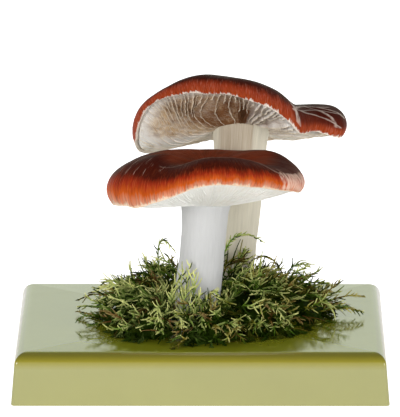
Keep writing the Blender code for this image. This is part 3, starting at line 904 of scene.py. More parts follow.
def cap_relief(mushroom, azimuth, place, flute):
    """How far the skin stands out: low lumps, creases, and flutes near the edge."""
    seed = mushroom.seed
    lump = LUMPS * ring_noise(azimuth, 9, place * 1.6, seed)
    lump += SMALL_LUMPS * ring_noise(azimuth, 38, place * 3.5, seed + 1)
    groove = ring_noise(azimuth, 150, place * 0.9, seed + 2) + 0.5 * ring_noise(azimuth, 300, place, seed + 3)
    flutes = flute * groove * smooth((place - 1.3) / 0.6)
    return lump * smooth(place) + flutes + CREASE_HEIGHT * cap_crease(mushroom, azimuth, place)


def cap_end(mushroom, azimuth):
    """The turn at which the margin ends: not quite even."""
    uneven = 0.035 * ring_noise(azimuth, 26, 0, mushroom.seed + 5)
    uneven += 0.013 * ring_noise(azimuth, 70, 0, mushroom.seed + 6)
    return ROLL_END * (1 + uneven)


def cap_wear_and_sheen(mushroom, azimuth, place):
    """Where the skin is paler: 0 to 1. It is pale with wear on the front cap's right and on the rear cap's
    bare margin, and has painted sheen on the front cap's left shoulder and on the rear cap's lobe.
    """
    degrees = signed_degrees(azimuth)
    if mushroom is FRONT:
        # Painted sheen on the left shoulder
        left = 0.36 * window(degrees, -76, -34, 12) * window(place, 1.2, 1.5, 0.14)
        # Pale patches of wear on the right
        right = 0.75 * window(degrees, 50, 80, 6) * window(place, 1.5, 1.9, 0.14)
        return max(left, right)
    # The bare margin is pale with wear; the lobe gets painted sheen
    bare = window(degrees, -160, -94, 8) * window(place, 1.9, 2.2, 0.04)
    return max(bare, 0.35 * window(degrees, 68, 100, 8) * window(place, 0.9, 1.3, 0.2))


def cap_painted_shade(mushroom, azimuth, place):
    """Where painted shade darkens the skin: 0 to 1."""
    degrees = signed_degrees(azimuth)
    patch = patches(azimuth, 16, place * 2.4, mushroom.seed + 50)
    if mushroom is FRONT:
        # Painted shade across the front cap's crest, most on its left shoulder
        left = 0.75 * window(degrees, -95, -22, 14) * window(place, 0.95, 1.5, 0.12)
        return patch * max(left, 0.35 * window(degrees, -90, 120, 20) * window(place, 0.9, 1.45, 0.15))
    # Painted shade on the rear cap's lobe and crown
    lobe = 0.85 * window(degrees, 44, 110, 8) * window(place, 0.9, 1.74, 0.16)
    crown = window(degrees, -120, 60, 20) * window(place, 0.7, 1.48, 0.08)
    return min(1.0, max(lobe * mix(0.7, 1.2, patch), crown * mix(0.35, 1.2, patch)))


def cap_tones(mushroom, look):
    tones = tones_of(look, "crown", "dark", "red", "orange", "edge", "bloom")
    if mushroom is REAR:
        tones["bloom"] = between(tones["bloom"], DRIED_WEAR_AND_SHEEN, 0.6)
        tones["red"] = between(tones["red"], DRIED_RED, 0.45)
        tones["orange"] = between(tones["orange"], tones["red"], 0.7)
        tones["edge"] = between(tones["edge"], DRIED_EDGE, 0.6)
    return tones


def cap_skin(mushroom, look):
    """Brown on the crown, then dark red, red and orange down to a pale edge, in fine radial streaks. Over it
    go pale wear with painted sheen, painted shade, and a painted highlight along the creases.
    """
    made, tree, shader = surface(
        mushroom.name + "_cap_skin", coat_roughness=0.25, coat_weight=0.02, specular_ior_level=0.04, ior=1.45
    )
    paleness, edge_start, fold_highlight_strength = (0.06, 1.965, 0.5) if mushroom is FRONT else (0.16, 1.985, 0.62)
    tones = cap_tones(mushroom, look)
    skin = attribute(tree, "skin", "Vector")
    place = add(tree, "ShaderNodeSeparateXYZ", skin, outputs="Z")
    fine = fibres(tree, "Fine", skin, 44.0, 3.2)
    broad = fibres(tree, "Broad", skin, 30.0, 1.6)
    hair = fibres(tree, "Fine", skin, 105.0, 5.0)
    blotch = mottle(tree, add(tree, "ShaderNodeTexCoord", outputs="Object"), 75.0, 0.35)

    shift = calc(tree, "ADD", swing(tree, fine, 0.26), swing(tree, broad, 0.34))
    shifted = calc(tree, "ADD", place, calc(tree, "MULTIPLY", shift, remap(tree, place, 1.05, 1.4)))
    first, second, third, last = (value - 1 for value in mushroom.blush)
    face = ramp(
        tree, calc(tree, "SUBTRACT", shifted, 1.0),
        (0.0, tones["dark"]), (1.0, tones["edge"]), (first, tones["dark"]), (second, tones["red"]),
        (third, tones["orange"]), (last, between(tones["orange"], tones["edge"], 0.35)),
    )
    crown = blend(tree, remap(tree, blotch, 0.3, 0.65), shaded(tones["crown"], 0.5), tones["crown"])
    crown = blend(tree, remap(tree, broad, 0.35, 0.7, 0.0, 0.5), crown, shaded(tones["crown"], 1.5))
    base = blend(tree, remap(tree, shifted, 0.93, 1.16), crown, face)

    streaks = calc(tree, "MULTIPLY", remap(tree, fine, 0.4, 0.8, 0.0, 0.45), remap(tree, place, 1.0, 1.3))
    base = blend(tree, streaks, base, tones["dark"])
    dark_hair = calc(tree, "MULTIPLY", remap(tree, hair, 0.5, 0.68, 0.0, 0.5), remap(tree, place, 1.05, 1.3))
    base = blend(tree, dark_hair, base, shaded(tones["crown"], 0.55))
    bright_hair = remap(tree, hair, 0.47, 0.33, 0.0, 0.35)
    bright_hair = calc(tree, "MULTIPLY", bright_hair, remap(tree, place, 1.2, 1.5))
    base = blend(tree, bright_hair, base, between(tones["orange"], tones["edge"], paleness))
    # Painted shade
    base = blend(tree, attribute(tree, "burn"), base, shaded(tones["dark"], 0.8))

    edge = remap(tree, calc(tree, "ADD", place, swing(tree, fine, 0.04)), edge_start, 2.0)
    base = blend(tree, edge, base, tones["edge"])
    # Pale streaks: wear, and painted sheen
    bloom = attribute(tree, "bloom")
    wear_and_sheen_streaks = calc(tree, "ADD", bloom, swing(tree, fine, 1.6))
    wear_and_sheen_streaks = calc(tree, "MULTIPLY", wear_and_sheen_streaks, remap(tree, bloom, 0.02, 0.2))
    base = blend(tree, remap(tree, wear_and_sheen_streaks, 0.5, 0.85, 0.0, 0.8), base, tones["bloom"])
    # A painted highlight along the creases
    fold_highlights = remap(tree, attribute(tree, "crease"), 0.25, 0.9, 0.0, fold_highlight_strength)
    fold_highlights = calc(tree, "MULTIPLY", fold_highlights, remap(tree, broad, 0.25, 0.6, 0.35, 1.0))
    feed(tree, shader.inputs["Base Color"], blend(tree, fold_highlights, base, tones["bloom"]))

    roughness = remap(tree, fine, 0.3, 0.7, look.roughness * 0.85, look.roughness * 1.3)
    feed(tree, shader.inputs["Roughness"], roughness)
    add_bump(tree, shader, calc(tree, "ADD", fine, calc(tree, "MULTIPLY", broad, 0.6)), 0.0004, 0.8)
    return made


def cap_rows():
    """Each ring's kind, how far along it lies, and how deep it is: from the skin (0) to the underside (1)."""
    rows = [("dome", k / DOME_RINGS, 0.0) for k in range(1, DOME_RINGS)]
    rows += [("roll", k / ROLL_RINGS, 0.0) for k in range(ROLL_RINGS + 1)]
    rows += [("roll", 1 + EDGE_BULGE * math.sin(math.pi * part), part) for part in (0.2, 0.5, 0.8)]
    rows += [("roll", 1 - k / UNDER_RINGS, 1.0) for k in range(UNDER_RINGS + 1)]
    rows += [("dome", part, 1.0) for part in (0.8, 0.55, 0.3, 0.1)]
    return rows


# What is painted on a cap's skin: pale wear with painted sheen, painted shade, and creases with a painted
# highlight
CAP_MASKS = {"bloom": cap_wear_and_sheen, "burn": cap_painted_shade, "crease": cap_crease}


def make_cap(mushroom):
    """The cap's skin in a fine grid, thinning to its curled edge and closed by its underside."""
    look = settings("caps")
    cap = CAP_FRAMES[mushroom.name]
    rings = []
    data = {key: [] for key in ("skin", *CAP_MASKS)}
    for kind, part, under in cap_rows():
        ring = []
        for azimuth in azimuths(CAP_SIDES):
            place = part if kind == "dome" else 1 + part
            relief = 0 if under == 1 else cap_relief(mushroom, azimuth, place, look.flute)
            if kind == "dome":
                radius, height = cap_dome(mushroom, azimuth, part, CAP_FLESH if under else -relief)
            else:
                turn = part * cap_end(mushroom, azimuth)
                depth = under * flesh_at(turn) - (1 - under) * relief
                radius, height = cap_roll(mushroom, azimuth, turn, depth)
            ring.append(cap @ polar(radius, azimuth, height))
            data["skin"].append(skin_place(azimuth, 2.0 + under if under else place))
            for key, mask in CAP_MASKS.items():
                data[key].append(0.0 if under else mask(mushroom, azimuth, place))
        rings.append(ring)
    dip = mushroom.dip * MM
    verts, faces = loft(rings, cap @ Vector((0, 0, dip)), cap @ Vector((0, 0, dip - CAP_FLESH)))
    data["skin"] += [(1, 0, 0), (1, 0, 3)]
    for key in CAP_MASKS:
        data[key] += [0.0, 0.0]
    made = new_object(mushroom.name + "_cap_skin", verts, faces, data)
    face_out(made)
    made.data.materials.append(cap_skin(mushroom, look))
    finish_piece(made, [mushroom.name + "_cap"], 0)


# Gills

GILL_SIDES = 192
FLESH_RINGS = 24
THINNEST_FLESH = 0.6 * MM

# How deep a gill's root is, how far its edge frays, how far it drifts to one side, and how strongly it waves
GILL_ROOT = 0.5 * MM
RAGGED = 0.5 * MM
DRIFT = 1.1 * MM
WAVE_STRENGTH = 3.2

# A gill draws a number up to a hundred: above this one it has a tear, whose width is a share of its length
TORN_FROM = 62
TEAR_WIDTH = 0.035

# A gill's points that are closer together than this are merged
WELD = 0.005 * MM


def gill_profile(mushroom, azimuth, inward):
    """Radius, free edge's height and flesh's height, a share of the way in from the margin to the stem."""
    joint_radius = mushroom.stem_radii[-1] * MM
    rim_radius, rim_height = cap_roll(mushroom, azimuth, ROLL_END, MARGIN_FLESH + GAP)
    radius = mix(rim_radius, joint_radius, inward)
    belly = around(mushroom, GILL_BELLY, azimuth) * MM
    edge = rim_height * (1 - inward) - belly * math.sin(math.pi * inward**0.75)
    hang = max(0.16, math.sin(math.pi * inward**0.8)) ** 0.7
    depth = mushroom.gill_depth * MM * hang * gill_fullness(mushroom, azimuth)
    ceiling = flesh_floor(mushroom, azimuth, radius) - GAP - FLESH_OVER_GILLS
    floor = min(edge + depth, max(ceiling, edge + THINNEST_FLESH))
    return radius, edge, floor


def gill_fullness(mushroom, azimuth):
    """How deep the gills still stand: they have shrunk, most of all on the left and behind."""
    if mushroom is FRONT:
        return 0.06
    degrees = signed_degrees(azimuth)
    return 0.08 + 0.22 * window(degrees, -50, 100, 22) + 0.2 * window(degrees, -8, 80, 16)


def gill_swirl(mushroom, azimuth, inward):
    """How far a gill turns aside on its way in, in radians: those on the left sweep back."""
    if mushroom is FRONT:
        return 0.0
    return -math.radians(36) * window(signed_degrees(azimuth), -100, -22, 22) * smooth(inward * 1.1)


def gill_stain_and_shade(mushroom, azimuth, inward):
    """How stained the gills are, partly real stain and partly painted shade, most in the middle and towards
    the stem: 0 is clean, and more than 1 is the painted shade of a hole.
    """
    degrees = signed_degrees(azimuth)
    patch = patches(azimuth, 12, inward * 2.5, mushroom.seed + 11)
    if mushroom is FRONT:
        return 0.04 * patch
    # Partly painted shade: more towards the stem and in the middle
    near_stem = smooth((inward - 0.1) / 0.6)
    middle = window(degrees, -50, 95, 25)
    # Painted shade of a hole between the gills
    hole = window(degrees, -1, 7, 3) * window(inward, 0.6, 0.92, 0.08)
    right = 1 - 0.6 * window(degrees, 16, 100, 14)
    stained = (0.3 + 0.7 * near_stem) * mix(0.08, 1.0, middle) * right * (0.4 + 0.9 * patch)
    return min(1.0, stained) + 0.8 * hole


def gill_age(mushroom, azimuth, inward):
    """How far the gills have turned from white to tan: 0 is white."""
    degrees = signed_degrees(azimuth)
    patch = patches(azimuth, 20, inward * 5, mushroom.seed + 12)
    if mushroom is FRONT:
        return 0.25 * patch * window(degrees, 10, 120, 30)
    clean = max(window(degrees, -150, -86, 12) * 0.9, window(degrees, 14, 130, 16) * 0.75)
    return (0.2 + 0.8 * smooth((inward - 0.04) / 0.2)) * (1 - clean) * mix(0.55, 1.15, patch)


def gill_strip(mushroom, azimuth, reach, cols, rng, verts, faces, data):
    """One gill's middle surface, from its root in the flesh to its free edge."""
    cap = CAP_FRAMES[mushroom.name]
    rows = (1.0, 0.66, 0.33, 0.0)
    start = len(verts)
    phase, notch = rng.uniform(0, 100), rng.uniform(0.2, 0.95)
    lean = rng.uniform(-0.35, 0.35)
    sway, full = rng.uniform(0.6, 1.4), rng.uniform(0.25, 1.1)
    for col in range(cols):
        inward = reach * col / (cols - 1)
        drift = sway * DRIFT * noise.noise(Vector((phase, inward * 4, 0))) * smooth(inward / 0.15)
        turned = azimuth + gill_swirl(mushroom, azimuth, inward)
        radius, edge, floor = gill_profile(mushroom, turned, inward)
        rough = noise.noise(Vector((phase, inward * 14, 5)))
        rough += 0.8 * noise.noise(Vector((phase, inward * 45, 9)))
        edge += RAGGED * rough * min(1.0, gill_fullness(mushroom, turned) * 3)
        edge = mix(floor, edge, full)
        if phase > TORN_FROM:
            edge = mix(edge, floor, 0.75 * math.exp(-(((inward - notch) / TEAR_WIDTH) ** 2)))
        if reach < 1:
            edge = mix(edge, floor, smooth((inward / reach - 0.55) / 0.45))
        depth = max(floor - edge, 0.1 * MM)
        across = polar(1, turned + math.pi / 2, 0)
        for row in rows:
            height = edge + (depth + GILL_ROOT) * row
            side = drift + lean * depth * (1 - row)
            verts.append(cap @ (polar(radius, turned, height) + across * side))
            data["across"].append(cap.to_3x3() @ across)
            data["free"].append(1 - row)
            # Real stain and painted shade, and the painted shade of a hole
            data["stain"].append(gill_stain_and_shade(mushroom, turned, inward))
            data["age"].append(gill_age(mushroom, turned, inward))
            data["blade"].append(1.0)
            data["skin"].append(skin_place(turned, inward))
    for col in range(cols - 1):
        for row in range(len(rows) - 1):
            a = start + col * len(rows) + row
            faces.append((a, a + 1, a + len(rows) + 1, a + len(rows)))


def blade_tree():
    """Waves thin strips to and fro and gives them thickness. Other faces pass through."""
    found = bpy.data.node_groups.get("Gill blades")
    if found:
        return found
    tree, given, end = geometry_tree(
        "Gill blades", {"Thickness": 0.0004, "Ripple": 0.0008, "Ripple Length": 0.005, "Seed": 0}
    )
    is_blade = calc(tree, "GREATER_THAN", named(tree, "blade"), 0.5)
    blades, rest = parted(tree, given.outputs["Geometry"], is_blade)
    scale = calc(tree, "DIVIDE", 1.0, given.outputs["Ripple Length"])
    offset = add(tree, "ShaderNodeCombineXYZ", given.outputs["Seed"], 0.0, 0.0)
    place = add(tree, "GeometryNodeInputPosition")
    place = add(tree, "ShaderNodeVectorMath", place, {"Scale": scale}, operation="SCALE")
    place = add(tree, "ShaderNodeVectorMath", place, offset, operation="ADD")
    wave = add(tree, "ShaderNodeTexNoise", {"Vector": place, "Scale": 1.0, "Detail": 2.0})
    sway = calc(tree, "MULTIPLY", swing(tree, wave, WAVE_STRENGTH), given.outputs["Ripple"])
    sway = calc(tree, "MULTIPLY", sway, calc(tree, "POWER", named(tree, "free"), 0.7))
    across = named(tree, "across", "FLOAT_VECTOR")
    move = add(tree, "ShaderNodeVectorMath", across, {"Scale": sway}, operation="SCALE")
    waved = add(tree, "GeometryNodeSetPosition", {"Geometry": blades, "Offset": move})
    thickness = {"Mesh": waved, "Offset Scale": given.outputs["Thickness"], "Individual": False}
    thick = add(tree, "GeometryNodeExtrudeMesh", thickness, mode="FACES")
    back = add(tree, "GeometryNodeFlipFaces", waved)
    closed = {"Geometry": joined(tree, back, thick), "Distance": WELD}
    end(joined(tree, add(tree, "GeometryNodeMergeByDistance", closed), rest))
    return tree


def gill_flesh(mushroom, look):
    """White where it is clean and free, and ochre between stained gills, laid on most deeply between them as
    painted shade, and darker still as the painted shade of a hole.
    """
    made, tree, shader = surface(mushroom.name + "_gill_flesh", roughness=0.62, specular_ior_level=0.3)
    skin = attribute(tree, "skin", "Vector")
    place = add(tree, "ShaderNodeTexCoord", outputs="Object")
    fine = fibres(tree, "Fine", skin, 22.0, 9.0)
    spots = mottle(tree, place, 160.0, 0.7)
    grains = mottle(tree, place, 420.0, 0.9)
    deep = calc(tree, "SUBTRACT", 1.0, attribute(tree, "free"))
    # The stain shows most deep between the gills: painted shade
    stain = calc(tree, "MULTIPLY", attribute(tree, "stain"), remap(tree, deep, 0.05, 0.9, 0.12, 1.0))
    stain = calc(tree, "MULTIPLY", stain, remap(tree, spots, 0.2, 0.75, 0.45, 1.35), clamp=True)
    tones = tones_of(look, "pale", "clean", "cream", "stain")
    age = attribute(tree, "age")
    tanned = calc(tree, "MULTIPLY", age, remap(tree, grains, 0.3, 0.65, 0.55, 1.3), clamp=True)
    side = blend(tree, tanned, tones["clean"], tones["cream"])
    rim = between(tones["pale"], tones["cream"], 0.35) if mushroom is REAR else tones["clean"]
    base = blend(tree, remap(tree, deep, 0.0, 0.3), rim, side)
    base = blend(tree, stain, base, tones["stain"])
    # Painted shade of a hole
    hole = remap(tree, attribute(tree, "stain"), 1.0, 1.5)
    base = blend(tree, hole, base, shaded(tones["stain"], 0.6))
    if mushroom is REAR:
        lines = remap(tree, fine, 0.42, 0.7, 0.0, 0.5)
        lines = calc(tree, "MULTIPLY", lines, remap(tree, age, 0.05, 0.5, 0.15, 1.0))
        base = blend(tree, lines, base, shaded(tones["stain"], 0.8))
    feed(tree, shader.inputs["Base Color"], base)
    add_bump(tree, shader, calc(tree, "ADD", spots, calc(tree, "MULTIPLY", grains, 0.7)), 0.0005, 0.8)
    return made


def gill_bed(mushroom):
    """The flesh that the gills hang from: its vertices and faces, and the numbers for each vertex."""
    cap = CAP_FRAMES[mushroom.name]
    against_cap = [(cap_dome, part, CAP_FLESH + GAP) for part in (0.55, 1.0)]
    for turn in (math.radians(degrees) for degrees in (30, 60, 85, 105)):
        against_cap.append((cap_roll, turn, flesh_at(turn) + GAP))
    rings = []
    data = {"free": [], "stain": [], "age": [], "skin": []}
    for profile, part, depth in against_cap:
        ring = []
        for azimuth in azimuths(GILL_SIDES):
            radius, height = profile(mushroom, azimuth, part, depth)
            ring.append(cap @ polar(radius, azimuth, height))
            data["free"].append(0.3)
            data["stain"].append(0.0)
            data["age"].append(0.0)
            data["skin"].append(skin_place(azimuth, 0.0))
        rings.append(ring)
    for inward in (step / FLESH_RINGS for step in range(FLESH_RINGS + 1)):
        ring = []
        for azimuth in azimuths(GILL_SIDES):
            radius, _, floor = gill_profile(mushroom, azimuth, inward)
            ring.append(cap @ polar(radius, azimuth, floor))
            data["free"].append(0.0)
            # Real stain and painted shade, and the painted shade of a hole
            data["stain"].append(gill_stain_and_shade(mushroom, azimuth, inward))
            data["age"].append(gill_age(mushroom, azimuth, inward))
            data["skin"].append(skin_place(azimuth, inward))
        rings.append(ring)
    top, bottom = mushroom.dip * MM - CAP_FLESH - GAP, 0.5 * MM
    shell = new_object("flesh", *loft(rings, cap @ Vector((0, 0, top)), cap @ Vector((0, 0, bottom))))
    face_out(shell)
    verts = [vert.co.copy() for vert in shell.data.vertices]
    faces = [tuple(face.vertices) for face in shell.data.polygons]
    bpy.data.meshes.remove(shell.data)
    for key in ("free", "stain", "age"):
        data[key] += [0.0, 0.0]
    data["skin"] += [(1, 0, 0), (1, 0, 1)]
    data["across"] = [Vector((1, 0, 0))] * len(verts)
    data["blade"] = [0.0] * len(verts)
    return verts, faces, data


def make_gills(mushroom):
    """The flesh under the cap, and the thin gills that hang from it and run from the margin to the stem."""
    look = settings("gills")
    cols, waviness = (22, 0.3) if mushroom is FRONT else (46, 1.0)
    verts, faces, data = gill_bed(mushroom)
    rng = random.Random(mushroom.seed)
    step = math.tau / mushroom.gills
    for k in range(mushroom.gills):
        azimuth = k * step + rng.uniform(-0.22, 0.22) * step
        gill_strip(mushroom, azimuth, 1.0, cols, rng, verts, faces, data)
        reach = rng.choice((0.28, 0.42, 0.6))
        gill_strip(mushroom, azimuth + step / 2, reach, cols // 2, rng, verts, faces, data)
    made = new_object(mushroom.name + "_gills", verts, faces, data)
    grow(
        made, blade_tree(), Thickness=look.thickness, Ripple=look.ripple * waviness,
        Ripple_Length=look.ripple_length, Seed=mushroom.seed, Material=gill_flesh(mushroom, look),
    )
    finish_piece(made, [mushroom.name + "_gills_and_stem"], 50)


# Stems

STEM_SIDES = 144
STEM_RINGS = 90
STEM_LUMPS = 0.32 * MM
STEM_FLARE = 0.5 * MM
STEM_BOW = 0.6 * MM


def stem_point(mushroom, part):
    """A point on the stem's centre line, from the plinth's top (0) to the joint (1)."""
    foot = Vector((mushroom.foot[0] * MM, mushroom.foot[1] * MM, settings("plinth").height))
    joint = Vector(mushroom.joint) * MM
    bow = STEM_BOW * math.sin(math.pi * part)
    return foot.lerp(joint, part) + Vector((bow, 0, 0))


def stem_radius(mushroom, part):
    radii = mushroom.stem_radii
    place = part * (len(radii) - 1)
    index = min(int(place), len(radii) - 2)
    return mix(radii[index], radii[index + 1], smooth(place - index)) * MM


def stem_stain(mushroom, azimuth, part):
    """How brown a stem is: 0 is clean. Both are stained at the foot, and the rear one at its top too."""
    degrees = signed_degrees(azimuth)
    patch = patches(azimuth, 7, part * 3, mushroom.seed + 21)
    if mushroom is FRONT:
        base = window(degrees, 20, 150, 25) * smooth((0.16 - part) / 0.14)
        return min(1.0, 0.06 * patch + 0.85 * base)
    top = window(degrees, -40, 20, 22) * smooth((part - 0.62) / 0.25)
    low = smooth((0.45 - part) / 0.3)
    return min(1.0, 0.12 * patch + 0.55 * top + 0.35 * low)


def stem_flesh(mushroom, look):
    """Chalky flesh with fine upright fibres, and brown where it is bruised."""
    made, tree, shader = surface(mushroom.name + "_stem_flesh", roughness=0.6, specular_ior_level=0.3)
    skin = attribute(tree, "skin", "Vector")
    fine = fibres(tree, "Fine", skin, 26.0, 5.0)
    broad = fibres(tree, "Broad", skin, 20.0, 3.0)
    tones = tones_of(look, "white", "cream", "stain")
    clean, shade = (tones["white"], 0.93) if mushroom is FRONT else (tones["cream"], 0.74)
    base = blend(tree, remap(tree, broad, 0.3, 0.75), clean, shaded(clean, mix(shade, 1, 0.4)))
    base = blend(tree, remap(tree, fine, 0.45, 0.8, 0.0, 0.5), base, shaded(clean, shade))
    bruise = attribute(tree, "stain")
    stain = remap(tree, calc(tree, "ADD", bruise, swing(tree, fine, 0.7)), 0.2, 1.0, 0.0, 0.85)
    stain = calc(tree, "MULTIPLY", stain, remap(tree, bruise, 0.03, 0.2))
    feed(tree, shader.inputs["Base Color"], blend(tree, stain, base, tones["stain"]))
    add_bump(tree, shader, calc(tree, "ADD", fine, broad), 0.0004, 0.7)
    return made


def stem_relief(mushroom, azimuth, part, fibre):
    """How far the flesh stands out: upright fibres and low lumps, which fade out at the foot."""
    seed = mushroom.seed + 40
    grain = ring_noise(azimuth, 90, part * 7, seed) + 0.6 * ring_noise(azimuth, 44, part * 3, seed + 1)
    relief = fibre * grain + STEM_LUMPS * ring_noise(azimuth, 7, part * 9, seed + 2)
    return relief * smooth(part / 0.06)


def make_stem(mushroom):
    """The stem, from its foot in the plinth's socket up into the cap's flesh."""
    look = settings("stems")
    plinth = settings("plinth")
    turned = CAP_FRAMES[mushroom.name].to_3x3()
    foot = Vector((*mushroom.foot, 0)) * MM
    foot_radius = mushroom.stem_radii[0] * MM
    socket = plinth.height - SOCKET_DEPTH + GAP
    rings, skin, stain = [], [], []
    for height in (socket, plinth.height + MM):
        rings.append([foot + polar(foot_radius, azimuth, height) for azimuth in azimuths(STEM_SIDES)])
        skin += [skin_place(azimuth, 0.0) for azimuth in azimuths(STEM_SIDES)]
        stain += [stem_stain(mushroom, azimuth, 0) for azimuth in azimuths(STEM_SIDES)]
    for step in range(3, STEM_RINGS + 4):
        part = step / STEM_RINGS
        rotation = Matrix.Identity(3).lerp(turned, smooth((part - 0.6) / 0.4))
        ring = []
        for azimuth in azimuths(STEM_SIDES):
            waver = 0.03 * math.sin(2 * azimuth + 3 * part) + 0.015 * math.sin(3 * azimuth - 5 * part)
            relief = stem_relief(mushroom, azimuth, part, look.fibre)
            radius = stem_radius(mushroom, min(part, 1.0)) * (1 + waver) + relief
            radius += STEM_FLARE * smooth((part - 0.93) / 0.07)
            ring.append(stem_point(mushroom, part) + rotation @ polar(radius, azimuth, 0))
            skin.append(skin_place(azimuth, part))
            stain.append(stem_stain(mushroom, azimuth, part))
        rings.append(ring)
    verts, faces = loft(rings, foot + Vector((0, 0, socket)), stem_point(mushroom, 1.03))
    skin += [(1, 0, 0), (1, 0, 1)]
    stain += [0.0, 0.0]
    made = new_object(mushroom.name + "_stem", verts, faces, {"skin": skin, "stain": stain})
    face_out(made)
    made.data.materials.append(stem_flesh(mushroom, look))
    finish_piece(made, [mushroom.name + "_gills_and_stem"], 60)


# Moss

MOUND_HEART = Vector((*MOUND_MIDDLE, 0)) * MM

# The moss stays outside a stem's radius by this factor and by this length, so that it misses the lumps
STEM_SLACK = 1.05
STEM_CLEAR = 0.6 * MM

# A sprig keeps this much more from the stems, and as much from the plinth's top, and this far from its edge
SPRIG_CLEAR = 0.5 * MM
EDGE_CLEAR = 9 * MM

# At one height above the plinth a clump's reach is felt for, and at the other the moss gets all its light
PROBE_HEIGHT = 8 * MM
LIT_HEIGHT = 9 * MM

# Thicknesses at the root and the tip, and the lengths of side branches
STALK_THICK = (0.5 * MM, 0.25 * MM)
BRANCH_THICK = (0.5 * MM, 0.2 * MM)
DEAD_THICK = (0.24 * MM, 0.1 * MM)
STRAY_BRANCH = 2.8 * MM
WISP_BRANCH = 5.5 * MM
COLLAR_BRANCH = 4.5 * MM
STALK_STEP = 2.2 * MM
LEAF_LEAN = 0.5

# The most that a sprig bends to one side at each step, in degrees: as a rule, and in the crowds
SPRIG_SWAY = 24
CROWD_SWAY = 42

# How many random numbers the solid of a clump draws for its heart
HEART_DRAWS = 16 * CLUMP_SIDES

# A clump's dark heart, a shell of painted shade: each ring's share of the clump's reach, and of the mound's
# height
HEART_SIDES = 36
HEART_RINGS = ((0.66, 0.0), (0.68, 0.22), (0.65, 0.42), (0.57, 0.56), (0.45, 0.66), (0.3, 0.72), (0.15, 0.76))

# The finer sprigs, deep in the mound and then on its top: how many, between which shares of its height,
# the least and most light, and the length of their side branches
CROWDS = ((1.6, 0.15, 0.85, (0.06, 0.3), 0.75), (0.85, 0.8, 1.02, (0.5, 1.2), 1.0))

# They thin out from this far to each side of the mound's middle, over the next few millimetres
THIN_FROM = 42
THIN_OVER = 12

# The sprigs round each stem: how many, the least and most lift in degrees, and how far up the stem they start
COLLARS = ((FRONT, 60, (50, 88), 0.2), (REAR, 36, (5, 38), 0.12))
LIFT_BEHIND = math.radians(38)
DEAD_STALKS = 16


def heading_of(way):
    """The azimuth of a direction."""
    return math.atan2(way.x, -way.y)


def mound_share(point):
    """How far out a point is in the mound: 0 in its middle and 1 at its edge."""
    offset = point.xy - Vector(MOUND_MIDDLE) * MM
    place = (heading_of(offset) / math.tau % 1) * len(MOUND_REACH)
    index = int(place)
    near, far = MOUND_REACH[index], MOUND_REACH[(index + 1) % len(MOUND_REACH)]
    return offset.length / ((near + (far - near) * (place - index)) * MM)


def mound_height(point):
    """The mound's height above the plinth."""
    return MOUND_HEIGHT * MM * (1 - min(1.0, mound_share(point)) ** 2) ** 0.6


def kept_clear(point, keep):
    """The point, moved back where it comes too near a stem or the plinth's top or edge."""
    point = point.copy()
    top = settings("plinth").height
    for mushroom in MUSHROOMS:
        rise = mushroom.joint[2] * MM - top
        part = min(1.0, max(0.0, (point.z - top) / rise))
        middle = stem_point(mushroom, part)
        away = point.xy - middle.xy
        short = stem_radius(mushroom, part) * STEM_SLACK + STEM_CLEAR + keep - away.length
        if short > 0:
            point.xy += away.normalized() * short
    limit = settings("plinth").side / 2 - EDGE_CLEAR
    point.x = max(-limit, min(limit, point.x))
    point.y = max(-limit, min(limit, point.y))
    point.z = max(point.z, top + keep)
    return point


def past_middle(point, here, there):
    """Whether a point is nearer to there than to here, seen from above."""
    return (point.xy - (here.xy + there) / 2).dot((here.xy - there).normalized()) < 0


def clump_reach(name, azimuth):
    """How far a clump reaches at an azimuth: to the mound's edge, or short of its neighbours and stems."""
    here = Vector((*CLUMPS[name], 0)) * MM
    others = [Vector(centre) * MM for other, centre in CLUMPS.items() if other != name]
    reach = 0.0
    while True:
        point = here + polar(reach + MM, azimuth, settings("plinth").height + PROBE_HEIGHT)
        crowded = any(past_middle(point, here, there) for there in others)
        moved = (kept_clear(point, SPRIG_CLEAR) - point).length > 0.01 * MM
        if crowded or moved or mound_share(point) > 1:
            return reach
        reach += MM


def shown(point):
    """How much light reaches a point in the mound: 0 deep inside and 1 on top."""
    rise = point.z - settings("plinth").height
    high = smooth((rise / max(mound_height(point), 4 * MM) - 0.35) / 0.6)
    return high * mix(0.45, 1.0, smooth(rise / LIT_HEIGHT))


